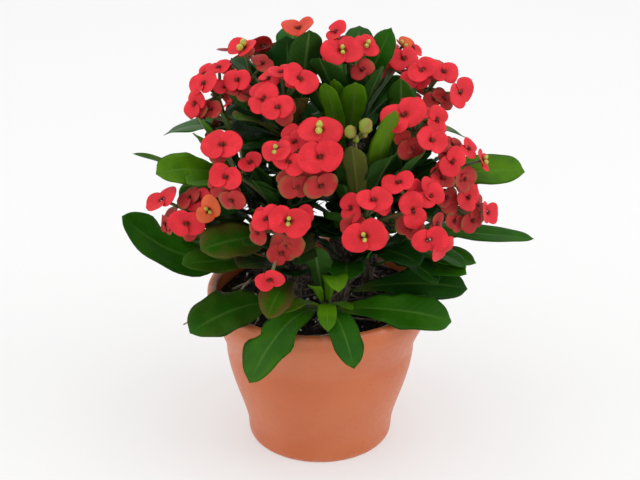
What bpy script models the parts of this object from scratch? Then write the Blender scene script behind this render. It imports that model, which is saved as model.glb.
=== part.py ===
"""A crown of thorns, Euphorbia milii, growing in a round pot with a broad collar.

The pot stands on the floor with its axis on Z and the middle of its base at the origin. Lengths
are in millimetres up to the last step of each shape, which turns them into metres. Places round
the pot are polar: an azimuth in degrees round from the front (-Y) towards +X, a radius and a
height.
"""

from math import atan2, cos, log, pi, radians, sin

import bmesh
import bpy
from mathutils import Matrix, Vector

MM = 0.001
GAP = 0.45             # clearance of a stalk or petiole from the stem that carries it
SOCKET_GAP = 0.35      # clearance of a stem in its socket in the soil
UP = Vector((0, 0, 1))
SHARP_ANGLE = radians(40)
WELD = 0.00001         # in metres: closes the seams of turned and tubular shapes
FINE_WELD = 0.000002   # in metres: tidies a fused body without moving its thin parts

# Pot
POT_HEIGHT = 95.3
RIM_RADIUS = 65.0
RIM_THICKNESS = 5.5
COLLAR_FOOT = 87.0     # below this height the collar narrows to the body
COLLAR_EASE = 0.4      # how much of the narrowing is an S-curve; the rest is straight
SHOULDER_HEIGHT = 61.0
SHOULDER_RADIUS = 54.8
WAIST_HEIGHT = 10.0
WAIST_RADIUS = 43.0
BELLY = 1.25           # over 1 the wall swells later above the waist
BASE_RADIUS = 42.2
BASE_ROUNDING = 2.0
WALL = 3.0
FLOOR_TOP = 3.5
DRAIN_RADIUS = 4.0
DRAIN_CIRCLE = 27.0    # the drainage holes stand on a circle of this radius
DRAINS = 5
INSIDE_HEIGHTS = (21, 37, 61, 70, 79)
OUTSIDE_HEIGHTS = (87, 82, 74, 66, 61, 48, 36, 27, 18, 10)
BEAD_ANGLES = (-90, -50, 0, 50, 90)    # steps round the rim's rounded top
POT_STEPS = 40

# Soil
SOIL_HEIGHT = 85.0
SOIL_CROWN = 2.5       # the surface is this much higher in the middle
CROWN_RADIUS = 30.0    # a ring of the crown between its middle and its edge
CROWN_HEIGHT = SOIL_HEIGHT + 1.8
SOIL_GAP = 0.7         # clearance from the pot's wall and floor
SOIL_STEPS = 24
ROOT_DEPTH = 28.0

# Stems: foot azimuth and radius, tip azimuth, radius and height, thickness at the foot
STEMS = {
    "front_left": (-35, 24, -28, 46, 162, 9.0),
    "front_right": (30, 24, 30, 48, 157, 9.0),
    "left": (-90, 28, -75, 48, 172, 9.0),
    "right": (85, 26, 70, 52, 167, 9.0),
    "centre_left": (-120, 9, -50, 22, 207, 10.0),
    "centre_right": (70, 9, 50, 24, 205, 10.0),
    "back_left": (-145, 26, -140, 48, 182, 9.0),
    "back_right": (145, 26, 140, 48, 182, 9.0),
    "basal": (4, 36, 3, 50, 109, 6.0),
}
STEM_TAPER = 0.62      # thickness at the tip as a share of that at the foot
STEM_BEND = 0.55       # the share of its height for which a stem keeps upright
STEM_STEPS = 7

# Flower heads
STALK_RADIUS = 1.3
BRANCH_RADIUS = 0.9
STALK_ARCH = 0.12      # how far a stalk arches up, as a share of its length
STALK_STEPS = 4
BRANCH_BOW = 0.15      # how far a branch bows outwards, as a share of its flower's reach
FORK_DEPTH = 15.0      # the stalk forks this far behind the head's face
DOME_RADIUS = 34.0     # the flowers of a head face out from a dome of this radius
FLOWER_THICKNESS = 1.2
FLOWER_CUP = 2.0       # the rim of a flower stands this far in front of its middle
FLOWER_LOBE = 0.125    # how far the width across the pair falls short, as a share
FLOWER_SIDES = 8

# Each head: stem, share of the stem's height, the middle of its face (azimuth, radius, height),
# where the face looks (azimuth, lift), and its flowers, each at a clock angle round the face and
# a reach from its middle, a depth behind the face, the clock angle of its pair of bracts, and
# its width across the pair.
HEADS = [
    ("left", 1.00, (-68, 66, 224), (-30, 35),
     [(-20, 2, 0, 75, 18), (-160, 10, 2, 20, 15), (15, 13, 3, 60, 14)]),
    ("centre_left", 1.00, (-62, 47, 236), (-25, 45),
     [(-10, 9, 0, 100, 20), (175, 9, 1, 80, 17)]),
    ("centre_left", 0.94, (-23, 52, 232), (-8, 45),
     [(-5, 10, 3, 70, 15), (60, 11, 0, 110, 19), (-125, 10, 2, 30, 18), (180, 11, 0, 80, 17)]),
    ("front_left", 1.00, (-38, 79, 192), (-25, 30),
     [(-20, 14, 0, 80, 24), (166, 3, 1, 95, 19), (158, 15, 3, 80, 15)]),
    ("left", 0.90, (-59, 87, 162), (-35, 30),
     [(-66, 14, 1, 40, 18), (-127, 15, 7, 70, 13), (127, 9, 0, 85, 20), (76, 17, 3, 20, 17)]),
    ("front_left", 0.93, (-8, 73, 204), (-3, 35),
     [(-76, 12, 0, 100, 18), (-20, 9, 4, 60, 16), (33, 17, 1, 90, 23), (-116, 6, -1, 120, 17),
      (89, 10, 0, 80, 22), (-173, 14, 7, 90, 18), (141, 17, 7, 75, 18)]),
    ("front_left", 0.82, (-14, 86, 168), (-8, 25),
     [(-50, 9, 1, 70, 18), (40, 7, 0, 100, 22), (155, 8, 7, 80, 20), (-172, 25, 2, 60, 17)]),
    ("centre_left", 0.97, (-55, 14, 249), (-10, 60),
     [(-10, 2, 0, 90, 17)]),
    ("centre_right", 1.00, (33, 29, 246), (5, 50),
     [(-35, 12, 1, 30, 14), (-118, 5, 0, 85, 23), (57, 9, 3, 120, 14)]),
    ("centre_right", 0.93, (96, 45, 234), (30, 50),
     [(30, 5, 2, 60, 13), (-160, 5, 0, 95, 18)]),
    ("right", 1.00, (74, 67, 226), (30, 40),
     [(-53, 12, 0, 80, 18), (36, 5, 3, 110, 15), (145, 11, 0, 70, 18)]),
    ("front_right", 1.00, (46, 72, 213), (15, 35),
     [(-57, 10, 0, 85, 23), (79, 10, 3, 20, 16), (155, 10, 0, 110, 19), (-156, 12, 7, 80, 16)]),
    ("right", 0.93, (59, 87, 189), (40, 30),
     [(-65, 6, 1, 60, 18), (-110, 11, 7, 100, 16), (55, 11, 2, 50, 15), (97, 17, 3, 120, 15),
      (153, 9, 7, 80, 16)]),
    ("front_right", 0.92, (17, 86, 175), (8, 25),
     [(14, 9, 0, 90, 19), (-159, 10, 0, 80, 24)]),
    ("front_right", 0.86, (36, 89, 174), (15, 25),
     [(-34, 19, 1, 80, 18), (41, 9, 3, 60, 16), (-84, 5, 0, 170, 20), (174, 15, 0, 90, 20),
      (154, 22, 4, 60, 16)]),
    ("right", 0.86, (64, 90, 162), (40, 20),
     [(-54, 14, 5, 80, 14), (-1, 5, 1, 60, 17), (122, 12, 0, 110, 18), (173, 8, 2, 70, 17)]),
    ("back_left", 1.00, (-140, 66, 218), (-150, 45),
     [(-60, 11, 1, 60, 20), (50, 10, 0, 100, 22), (175, 10, 1, 85, 20)]),
    ("back_left", 0.90, (-152, 90, 185), (-160, 30),
     [(-80, 10, 0, 80, 22), (40, 12, 1, 50, 20), (160, 12, 2, 110, 19)]),
    ("back_right", 1.00, (146, 66, 218), (155, 45),
     [(-45, 10, 0, 70, 22), (70, 11, 1, 120, 20), (-170, 11, 1, 90, 20)]),
    ("back_right", 0.90, (152, 91, 183), (160, 30),
     [(-20, 11, 1, 95, 20), (95, 12, 0, 60, 22), (-150, 11, 2, 80, 20)]),
    ("left", 0.82, (-125, 72, 191), (-125, 35),
     [(-30, 9, 0, 80, 21), (120, 10, 1, 60, 20)]),
    ("right", 0.80, (125, 74, 191), (125, 35),
     [(30, 9, 0, 100, 21), (-130, 10, 1, 70, 20)]),
]

# Each leaf: stem, share of the stem's height, tip (azimuth, radius, height), width, how far the
# middle of the blade is lifted above the straight line, and its roll.
LEAVES = [
    ("centre_left", 0.90, (-13, 25, 254), 20, 2, 0),
    ("centre_right", 0.80, (3, 51, 235), 12, 0, 0),
    ("centre_right", 0.86, (22, 48, 233), 15, 0, 0),
    ("centre_right", 0.98, (46, 44, 237), 15, 0, 10),
    ("right", 0.97, (54, 52, 230), 17, 0, 0),
    ("front_right", 0.78, (59, 68, 190), 18, 3, 0),
    ("right", 0.88, (77, 112, 176), 22, 6, 30),
    ("right", 0.58, (83, 119, 131), 14, 1, 15),
    ("centre_left", 0.84, (-53, 50, 222), 22, 4, 0),
    ("centre_left", 0.78, (-39, 68, 217), 17, 6, -10),
    ("left", 0.94, (-68, 93, 179), 21, 4, -35),
    ("left", 0.86, (-98, 106, 170), 9, 1, 50),
    ("left", 0.40, (-80, 110, 146), 33, -16, -30),
    ("front_left", 0.66, (-43, 90, 149), 24, 4, -35),
    ("front_left", 0.12, (-48, 93, 98), 28, 6, -25),
    ("basal", 0.80, (-25, 88, 78), 30, 12, 0),
    ("basal", 0.95, (11, 92, 93), 18, 8, 0),
    ("basal", 0.60, (58, 84, 95), 27, 4, 25),
    ("front_right", 0.22, (73, 85, 105), 22, 4, 30),
    ("right", 0.42, (70, 85, 121), 18, 6, 0),
    ("front_right", 0.36, (31, 69, 154), 24, 2, 35),
    ("basal", 1.00, (-3, 62, 149), 17, 2, 0),
    ("back_left", 0.82, (-120, 105, 167), 24, 10, 0),
    ("back_right", 0.82, (125, 105, 162), 24, 10, 0),
    ("back_left", 0.60, (-160, 98, 137), 26, 12, 0),
    ("back_right", 0.60, (160, 98, 142), 26, 12, 0),
    ("back_right", 0.96, (180, 80, 212), 22, 8, 0),
]
LEAF_THICKNESS = 0.9
LEAF_WIDEST = 0.66     # share of the blade's length at which it is widest
LEAF_ROUNDNESS = 0.6   # under 1 the tip is blunt
LEAF_END = 0.985       # the blade's width stops closing in at this share of its length
PETIOLE_WIDTH = 2.4
LEAF_FOLD = 0.18       # the edges stand this share of the half width above the midrib
LEAF_STEPS = 6
ROLL_SHARE = 0.4       # the leaf has rolled over fully by this share of its length
STEP = 0.01            # the share of a curve over which its direction is measured

# Colours
TERRACOTTA = (0.60, 0.19, 0.08)
SOIL_BROWN = (0.022, 0.014, 0.011)
BARK_BROWN = (0.10, 0.075, 0.055)
CORAL_RED = (0.80, 0.035, 0.04)
LEAF_GREEN = (0.025, 0.09, 0.018)


def clear_scene():
    """Remove whatever the scene holds."""
    for thing in list(bpy.data.objects):
        bpy.data.objects.remove(thing)


def new_collection(name):
    collection = bpy.data.collections.new(name)
    bpy.context.scene.collection.children.link(collection)
    return collection


def new_material(name, colour, roughness):
    """A non-metallic Principled finish of one colour."""
    material = bpy.data.materials.new(name)
    material.use_nodes = True
    shader = material.node_tree.nodes["Principled BSDF"]
    shader.inputs["Base Color"].default_value = (*colour, 1)
    shader.inputs["Roughness"].default_value = roughness
    shader.inputs["Metallic"].default_value = 0
    return material


def new_object(name, mesh, collection, material=None):
    piece = bpy.data.objects.new(name, mesh)
    collection.objects.link(piece)
    if material:
        mesh.materials.clear()
        mesh.materials.append(material)
    return piece


def polar(azimuth, radius, height):
    """A point in millimetres, from its azimuth in degrees, radius and height."""
    turn = radians(azimuth)
    return Vector((radius * sin(turn), -radius * cos(turn), height))


def evaluated_mesh(piece, weld=WELD):
    """The piece's mesh with its modifiers or bevel applied and its loose caps welded."""
    graph = bpy.context.evaluated_depsgraph_get()
    mesh = bpy.data.meshes.new_from_object(piece.evaluated_get(graph))
    work = bmesh.new()
    work.from_mesh(mesh)
    bmesh.ops.remove_doubles(work, verts=work.verts, dist=weld)
    work.to_mesh(mesh)
    work.free()
    return mesh


def boolean(piece, operation, tools):
    """Cut or join every object of the collection of tools."""
    step = piece.modifiers.new(operation.lower(), "BOOLEAN")
    step.operation = operation
    step.operand_type = "COLLECTION"
    step.collection = tools
    step.solver = "EXACT"


def curved(start, guide, end, share):
    """A point of the quadratic curve from start to end that is drawn towards guide."""
    rest = 1 - share
    return start * rest ** 2 + guide * (2 * share * rest) + end * share ** 2


def tube_mesh(name, points, radii, sides_setting):
    """A closed round tube through the points, as a mesh in metres."""
    curve = bpy.data.curves.new(name, "CURVE")
    curve.dimensions = "3D"
    curve.bevel_depth = MM
    curve.bevel_resolution = sides_setting
    curve.use_fill_caps = True
    spline = curve.splines.new("POLY")
    spline.points.add(len(points) - 1)
    for knot, point, radius in zip(spline.points, points, radii):
        knot.co = (*(point * MM), 1)
        knot.radius = radius
    wire = bpy.data.objects.new(name, curve)
    bpy.context.scene.collection.objects.link(wire)
    bpy.context.view_layer.update()
    mesh = evaluated_mesh(wire)
    bpy.data.objects.remove(wire)
    return mesh


# ---------------------------------------------------------------- pot and soil

def wall_radius(height):
    """The outside radius of the pot's wall."""
    if height >= COLLAR_FOOT:
        return RIM_RADIUS
    if height >= SHOULDER_HEIGHT:
        share = (height - SHOULDER_HEIGHT) / (COLLAR_FOOT - SHOULDER_HEIGHT)
        eased = share + COLLAR_EASE * (share ** 2 * (3 - 2 * share) - share)
        return SHOULDER_RADIUS + (RIM_RADIUS - SHOULDER_RADIUS) * eased
    if height >= WAIST_HEIGHT:
        share = (height - WAIST_HEIGHT) / (SHOULDER_HEIGHT - WAIST_HEIGHT)
        return WAIST_RADIUS + (SHOULDER_RADIUS - WAIST_RADIUS) * sin(share ** BELLY * pi / 2)
    return BASE_RADIUS + (WAIST_RADIUS - BASE_RADIUS) * height / WAIST_HEIGHT


def bore_radius(height):
    """The inside radius of the pot's wall, which is thicker behind the collar."""
    return min(wall_radius(height) - WALL, RIM_RADIUS - RIM_THICKNESS)


def pot_profile():
    """The outline of half the pot, up the inside, over the rim and down the outside."""
    bead = RIM_THICKNESS / 2
    bead_middle = Vector((RIM_RADIUS - bead, POT_HEIGHT - bead))
    outline = [Vector((0, FLOOR_TOP))]
    outline += [Vector((bore_radius(h), h)) for h in (FLOOR_TOP, *INSIDE_HEIGHTS)]
    for angle in BEAD_ANGLES:
        outline.append(bead_middle + Vector((sin(radians(angle)), cos(radians(angle)))) * bead)
    outline += [Vector((wall_radius(h), h)) for h in OUTSIDE_HEIGHTS]
    outline += [Vector((BASE_RADIUS, BASE_ROUNDING)), Vector((BASE_RADIUS - BASE_ROUNDING, 0))]
    return outline + [Vector((0, 0))]


def turned_mesh(name, outline, steps):
    """The solid that the outline makes when it is turned once round Z."""
    work = bmesh.new()
    knots = [work.verts.new((point.x * MM, 0, point.y * MM)) for point in outline]
    for first, second in zip(knots, knots[1:]):
        work.edges.new((first, second))
    mesh = bpy.data.meshes.new(name)
    work.to_mesh(mesh)
    work.free()
    blank = bpy.data.objects.new(name, mesh)
    bpy.context.scene.collection.objects.link(blank)
    turn = blank.modifiers.new("turn", "SCREW")
    turn.steps = turn.render_steps = steps
    turn.use_merge_vertices = True
    turn.merge_threshold = WELD
    bpy.context.view_layer.update()
    turned = evaluated_mesh(blank)
    bpy.data.objects.remove(blank)
    return turned


def make_pot(collection, cutters):
    """The pot: collar rim, curved wall, flat base and drainage holes."""
    material = new_material("pot_finish", TERRACOTTA, 0.5)
    mesh = turned_mesh("pot", pot_profile(), POT_STEPS)
    pot = new_object("pot", mesh, collection, material)
    drill = new_collection("pot_drill")
    cutters.children.link(drill)
    bpy.context.scene.collection.children.unlink(drill)
    for index in range(DRAINS):
        place = polar(360 * (index + 0.5) / DRAINS, DRAIN_CIRCLE, FLOOR_TOP / 2) * MM
        bpy.ops.mesh.primitive_cylinder_add(vertices=12, radius=DRAIN_RADIUS * MM,
                                            depth=4 * FLOOR_TOP * MM, location=place)
        cutter = bpy.context.object
        cutter.name = f"drill_{index + 1}"
        cutter.users_collection[0].objects.unlink(cutter)
        drill.objects.link(cutter)
        cutter.hide_render = True
        cutter.display_type = "WIRE"
    boolean(pot, "DIFFERENCE", drill)
    mesh.shade_smooth()
    mesh.set_sharp_from_angle(angle=SHARP_ANGLE)


def make_soil(collection, cutters):
    """The plug of soil that fills the pot, with a socket for each stem's foot."""
    material = new_material("soil_finish", SOIL_BROWN, 0.95)
    outline = [Vector((0, SOIL_HEIGHT + SOIL_CROWN)), Vector((CROWN_RADIUS, CROWN_HEIGHT))]
    outline += [Vector((bore_radius(SOIL_HEIGHT) - SOIL_GAP, SOIL_HEIGHT))]
    outline += [Vector((bore_radius(h) - SOIL_GAP, h)) for h in reversed(INSIDE_HEIGHTS)]
    outline += [Vector((bore_radius(FLOOR_TOP) - SOIL_GAP, FLOOR_TOP + SOIL_GAP))]
    outline += [Vector((0, FLOOR_TOP + SOIL_GAP))]
    mesh = turned_mesh("soil", outline, SOIL_STEPS)
    soil = new_object("soil", mesh, collection, material)
    dibber = new_collection("soil_dibber")
    cutters.children.link(dibber)
    bpy.context.scene.collection.children.unlink(dibber)
    for stem in STEMS:
        socket = new_object(f"socket_{stem}", stem_mesh(stem, SOCKET_GAP), dibber)
        socket.hide_render = True
        socket.display_type = "WIRE"
    boolean(soil, "DIFFERENCE", dibber)


# ---------------------------------------------------------------------- stems

def stem_point(stem, share):
    """The middle of a stem at a share of its height above the soil."""
    foot_azimuth, foot_radius, tip_azimuth, tip_radius, tip_height, _ = STEMS[stem]
    foot = polar(foot_azimuth, foot_radius, SOIL_HEIGHT)
    tip = polar(tip_azimuth, tip_radius, tip_height)
    guide = foot + UP * (STEM_BEND * (tip_height - SOIL_HEIGHT))
    return curved(foot, guide, tip, share)


def stem_radius(stem, share):
    return STEMS[stem][5] / 2 * (1 - (1 - STEM_TAPER) * share)


def stem_mesh(stem, grow=0.0):
    """A stem from its foot in the soil to its blunt tip, made fatter all round by grow."""
    shares = [step / STEM_STEPS for step in range(STEM_STEPS + 1)]
    points = [stem_point(stem, share) for share in shares]
    radii = [stem_radius(stem, share) + grow for share in shares]
    points.insert(0, points[0] - UP * (ROOT_DEPTH + grow))
    radii.insert(0, radii[0])
    return tube_mesh(f"stem_{stem}", points, radii, 2)


def make_stems(collection):
    material = new_material("bark_finish", BARK_BROWN, 0.85)
    for stem in STEMS:
        mesh = stem_mesh(stem)
        mesh.shade_smooth()
        new_object(f"stem_{stem}", mesh, collection, material)


def beside_stem(stem, share, target, half_thickness):
    """Where a stalk or petiole starts, just clear of its stem on the target's side."""
    middle = stem_point(stem, share)
    along = (middle - stem_point(stem, share - STEP)).normalized()
    aside = target - middle
    aside = (aside - along * aside.dot(along)).normalized()
    return middle + aside * (stem_radius(stem, share) + GAP + half_thickness)


# --------------------------------------------------------------- flower heads

def face_axes(azimuth, lift):
    """The way a face looks, its upward direction and its right-hand direction."""
    out = polar(azimuth, cos(radians(lift)), sin(radians(lift)))
    up = (UP - out * out.z).normalized()
    return out, up, up.cross(out)


def flower_mesh(middle, out, along, width):
    """One flower as a shallow two-lobed cup with thickness."""
    across = out.cross(along)
    work = bmesh.new()
    bmesh.ops.create_circle(work, cap_ends=True, cap_tris=True, segments=FLOWER_SIDES, radius=1)
    for vert in work.verts:
        reach = vert.co.length
        lobe = width / 2 * (1 - FLOWER_LOBE + FLOWER_LOBE * cos(2 * atan2(vert.co.y, vert.co.x)))
        cup = out * (FLOWER_CUP * reach ** 2)
        vert.co = (middle + (along * vert.co.x + across * vert.co.y) * lobe + cup) * MM
    mesh = bpy.data.meshes.new("flower")
    work.to_mesh(mesh)
    work.free()
    return mesh


def fuse(name, meshes, collection, material):
    """Join overlapping solids into one closed body."""
    tools = new_collection(f"{name}_pieces")
    blank = new_object(name, meshes[0], bpy.context.scene.collection)
    for index, mesh in enumerate(meshes[1:]):
        solid = new_object(f"{name}_{index}", mesh, tools)
        if mesh.name.startswith("flower"):
            shell = solid.modifiers.new("thickness", "SOLIDIFY")
            shell.thickness = FLOWER_THICKNESS * MM
            shell.offset = 0
    boolean(blank, "UNION", tools)
    bpy.context.view_layer.update()
    fused = evaluated_mesh(blank, FINE_WELD)
    for solid in [blank, *tools.objects]:
        bpy.data.objects.remove(solid)
    bpy.data.collections.remove(tools)
    fused.shade_smooth()
    fused.set_sharp_from_angle(angle=SHARP_ANGLE)
    return new_object(name, fused, collection, material)


def make_head(index, head, collection, material):
    """A forking stalk with its flowers."""
    stem, share, place, look, flowers = head
    face = polar(*place)
    out, up, right = face_axes(*look)
    fork = face - out * FORK_DEPTH
    start = beside_stem(stem, share, fork, STALK_RADIUS)
    guide = start.lerp(fork, 0.5) + UP * (STALK_ARCH * (fork - start).length)
    stalk = [curved(start, guide, fork, step / STALK_STEPS) for step in range(STALK_STEPS + 1)]
    meshes = [tube_mesh("stalk", stalk, [STALK_RADIUS] * len(stalk), 1)]
    for clock, reach, depth, pair_clock, width in flowers:
        aside = (right * sin(radians(clock)) + up * cos(radians(clock))) * reach
        middle = face + aside - out * depth
        look_out = (out * DOME_RADIUS + aside).normalized()
        along = right * sin(radians(pair_clock)) + up * cos(radians(pair_clock))
        along = (along - look_out * along.dot(look_out)).normalized()
        bend = fork.lerp(middle, 0.5) + aside * BRANCH_BOW
        twig = [fork - out, bend, middle]
        meshes.append(tube_mesh("branch", twig, [BRANCH_RADIUS] * len(twig), 0))
        meshes.append(flower_mesh(middle, look_out, along, width))
    fuse(f"flower_head_{index:02d}", meshes, collection, material)


def make_heads(collection):
    material = new_material("bract_finish", CORAL_RED, 0.5)
    for index, head in enumerate(HEADS, start=1):
        make_head(index, head, collection, material)


# --------------------------------------------------------------------- leaves

def blade_half_width(share, width):
    """Half the width of a leaf at a share of its length: a petiole that opens into a blade."""
    power = log(0.5) / log(LEAF_WIDEST)
    blade = sin(pi * min(share, LEAF_END) ** power) ** LEAF_ROUNDNESS
    return PETIOLE_WIDTH / 2 + (width - PETIOLE_WIDTH) / 2 * blade


def leaf_mesh(base, tip, width, arch, roll):
    """The blade as one curved sheet from its base to its tip."""
    guide = base.lerp(tip, 0.5) + UP * (2 * arch)
    aside = (tip - base).cross(UP).normalized()
    work = bmesh.new()
    bmesh.ops.create_grid(work, x_segments=LEAF_STEPS, y_segments=2, size=0.5)
    for vert in work.verts:
        share = vert.co.x + 0.5
        across = vert.co.y * 2
        middle = curved(base, guide, tip, share)
        along = (curved(base, guide, tip, share + STEP) - middle).normalized()
        side = Matrix.Rotation(radians(roll) * min(share / ROLL_SHARE, 1), 3, along) @ aside
        half = blade_half_width(share, width)
        fold = side.cross(along) * (abs(across) * half * LEAF_FOLD)
        vert.co = (middle + side * (across * half) + fold) * MM
    mesh = bpy.data.meshes.new("leaf")
    work.to_mesh(mesh)
    work.free()
    return mesh


def make_leaves(collection):
    material = new_material("leaf_finish", LEAF_GREEN, 0.4)
    for index, (stem, share, place, width, arch, roll) in enumerate(LEAVES, start=1):
        tip = polar(*place)
        base = beside_stem(stem, share, tip, PETIOLE_WIDTH / 2)
        mesh = leaf_mesh(base, tip, width, arch, roll)
        leaf = new_object(f"leaf_{index:02d}", mesh, collection, material)
        blade = leaf.modifiers.new("thickness", "SOLIDIFY")
        blade.thickness = LEAF_THICKNESS * MM
        blade.offset = 0
        mesh.shade_smooth()


def main():
    clear_scene()
    plant = new_collection("potted_euphorbia")
    cutters = new_collection("cutters")
    make_pot(plant, cutters)
    make_soil(plant, cutters)
    make_stems(plant)
    make_heads(plant)
    make_leaves(plant)


main()
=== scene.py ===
"""A crown of thorns in a round terracotta-coloured pot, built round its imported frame.

Lengths are in millimetres up to the last step of each shape, which turns them into metres. Places
round the pot are polar: an azimuth in degrees round from the front (-Y) towards +X, a radius and a
height.
"""

from math import cos, exp, log, pi, radians, sin
from random import Random

import bmesh
import bpy
from mathutils import Matrix, Vector, noise


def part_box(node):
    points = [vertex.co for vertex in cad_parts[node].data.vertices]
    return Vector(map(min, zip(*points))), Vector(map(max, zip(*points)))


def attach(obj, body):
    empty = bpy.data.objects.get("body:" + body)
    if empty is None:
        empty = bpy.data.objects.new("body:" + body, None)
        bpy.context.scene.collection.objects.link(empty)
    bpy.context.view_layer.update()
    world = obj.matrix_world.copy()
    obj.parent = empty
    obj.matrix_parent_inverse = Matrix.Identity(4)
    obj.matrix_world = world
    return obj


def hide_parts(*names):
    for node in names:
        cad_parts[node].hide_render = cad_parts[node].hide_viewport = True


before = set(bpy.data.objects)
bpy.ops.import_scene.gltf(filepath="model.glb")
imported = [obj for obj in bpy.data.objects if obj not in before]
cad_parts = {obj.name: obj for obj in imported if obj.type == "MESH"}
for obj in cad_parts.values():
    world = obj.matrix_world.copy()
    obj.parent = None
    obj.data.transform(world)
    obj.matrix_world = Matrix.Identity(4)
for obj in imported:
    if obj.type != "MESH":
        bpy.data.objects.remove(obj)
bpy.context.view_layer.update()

bl_info = {
    "name": "Potted crown of thorns",
    "version": (1, 0, 0),
    "blender": (4, 5, 0),
    "location": "View3D > Sidebar > Euphorbia",
    "description": "Builds the pot, soil, stems, leaves and flower heads of a crown of thorns",
    "category": "Object",
}

MM = 0.001
UP = Vector((0, 0, 1))
CHART = "chart"            # the UV map: along and across a leaf, round and out along a bract
MARKS = ("age", "flush")   # what each leaf or bract says about itself, from 0 to 1

# Pot
POT_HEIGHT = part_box("pot")[1][2] / MM
RIM_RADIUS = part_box("pot")[1][0] / MM
RIM_THICKNESS = 5.5
COLLAR_FOOT = 87.0
COLLAR_EASE = 0.4
SHOULDER_HEIGHT = 61.0
SHOULDER_RADIUS = 54.8
WAIST_HEIGHT = 10.0
WAIST_RADIUS = 43.0
BELLY = 1.25
BASE_RADIUS = 42.2
BASE_ROUNDING = 2.0
WALL = 3.0
WALL_TOP = 92.0            # where the rim's rounding begins
FLOOR_TOP = 3.5
FLOOR_FILLET = 2.0
FOOT_RING = 7.0            # the width of the underside's outer ring
DRAIN_RADIUS = 4.0
DRAIN_CIRCLE = 27.0
DRAINS = 5
POT_STEPS = 144
RIM_WEAR = (0.0915, 0.0955)    # the heights between which the rim's wear sets in, in metres
FOOT_WEAR = 0.004
LINE_RATE = 5200           # radians in a metre of the fine lines round the wall

# Soil
SOIL_HEIGHT = 85.0
SOIL_CROWN = 2.5
SOIL_GAP = 0.7
SOIL_STEPS = 72
SOIL_RINGS = 18
SOIL_SEED = 11
CRUMB_SIZES = (1.2, 1.6, 2.2, 3.4)
GRAIN_SIZES = (0.9, 1.3, 1.3, 2.4)
ROOT_DEPTH = 28.0

# Each dry twig on the soil: its two ends (azimuth, radius, height) and its radius
DRY_TWIGS = [
    ((-76, 40, 103), (-60, 60, 98), 0.9), ((-50, 46, 104), (-56, 63, 98), 0.8),
    ((-70, 34, 88), (-42, 56, 88), 0.8), ((-54, 60, 104), (-56, 90, 96), 0.9),
    ((48, 46, 87), (20, 30, 89), 0.7), ((62, 50, 87), (84, 34, 88), 0.7),
    ((-100, 52, 87), (-130, 36, 89), 0.8), ((150, 50, 87), (110, 40, 89), 0.7),
    ((178, 48, 87), (-160, 30, 89), 0.8), ((-15, 54, 87), (14, 46, 88), 0.6),
]
TWIG_STEPS = 8
TWIG_TAPER = 0.55

# Stems: foot azimuth and radius, tip azimuth, radius and height, thickness at the foot
STEMS = {
    "front_left": (-35, 24, -28, 46, 162, 9.0),
    "front_right": (30, 24, 30, 48, 157, 9.0),
    "left": (-90, 28, -75, 48, 172, 9.0),
    "right": (85, 26, 70, 52, 167, 9.0),
    "centre_left": (-120, 9, -50, 22, 207, 10.0),
    "centre_right": (70, 9, 50, 24, 205, 10.0),
    "back_left": (-145, 26, -140, 48, 182, 9.0),
    "back_right": (145, 26, 140, 48, 182, 9.0),
    "basal": (4, 36, 3, 50, 109, 6.0),
}
STEM_BEND = 0.55
STEM_TAPER = 0.62
STEM_RINGS = 44
STEM_SIDES = 14
STEM_SEED = 40
SCAR_SPACING = 5           # rings from one leaf scar to the next
SPINE_RADII = (0.85, 0.48, 0.24, 0.04)
SPINE_TURN = 2.4           # radians round the stem from one spine to the next

# Flower heads
STALK_RADIUS = 1.3
BRANCH_RADIUS = 0.9
FORK_DEPTH = 15.0
DOME_RADIUS = 34.0
FULLNESS = 1.02            # how much broader the open bracts are than the head's solid

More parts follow.
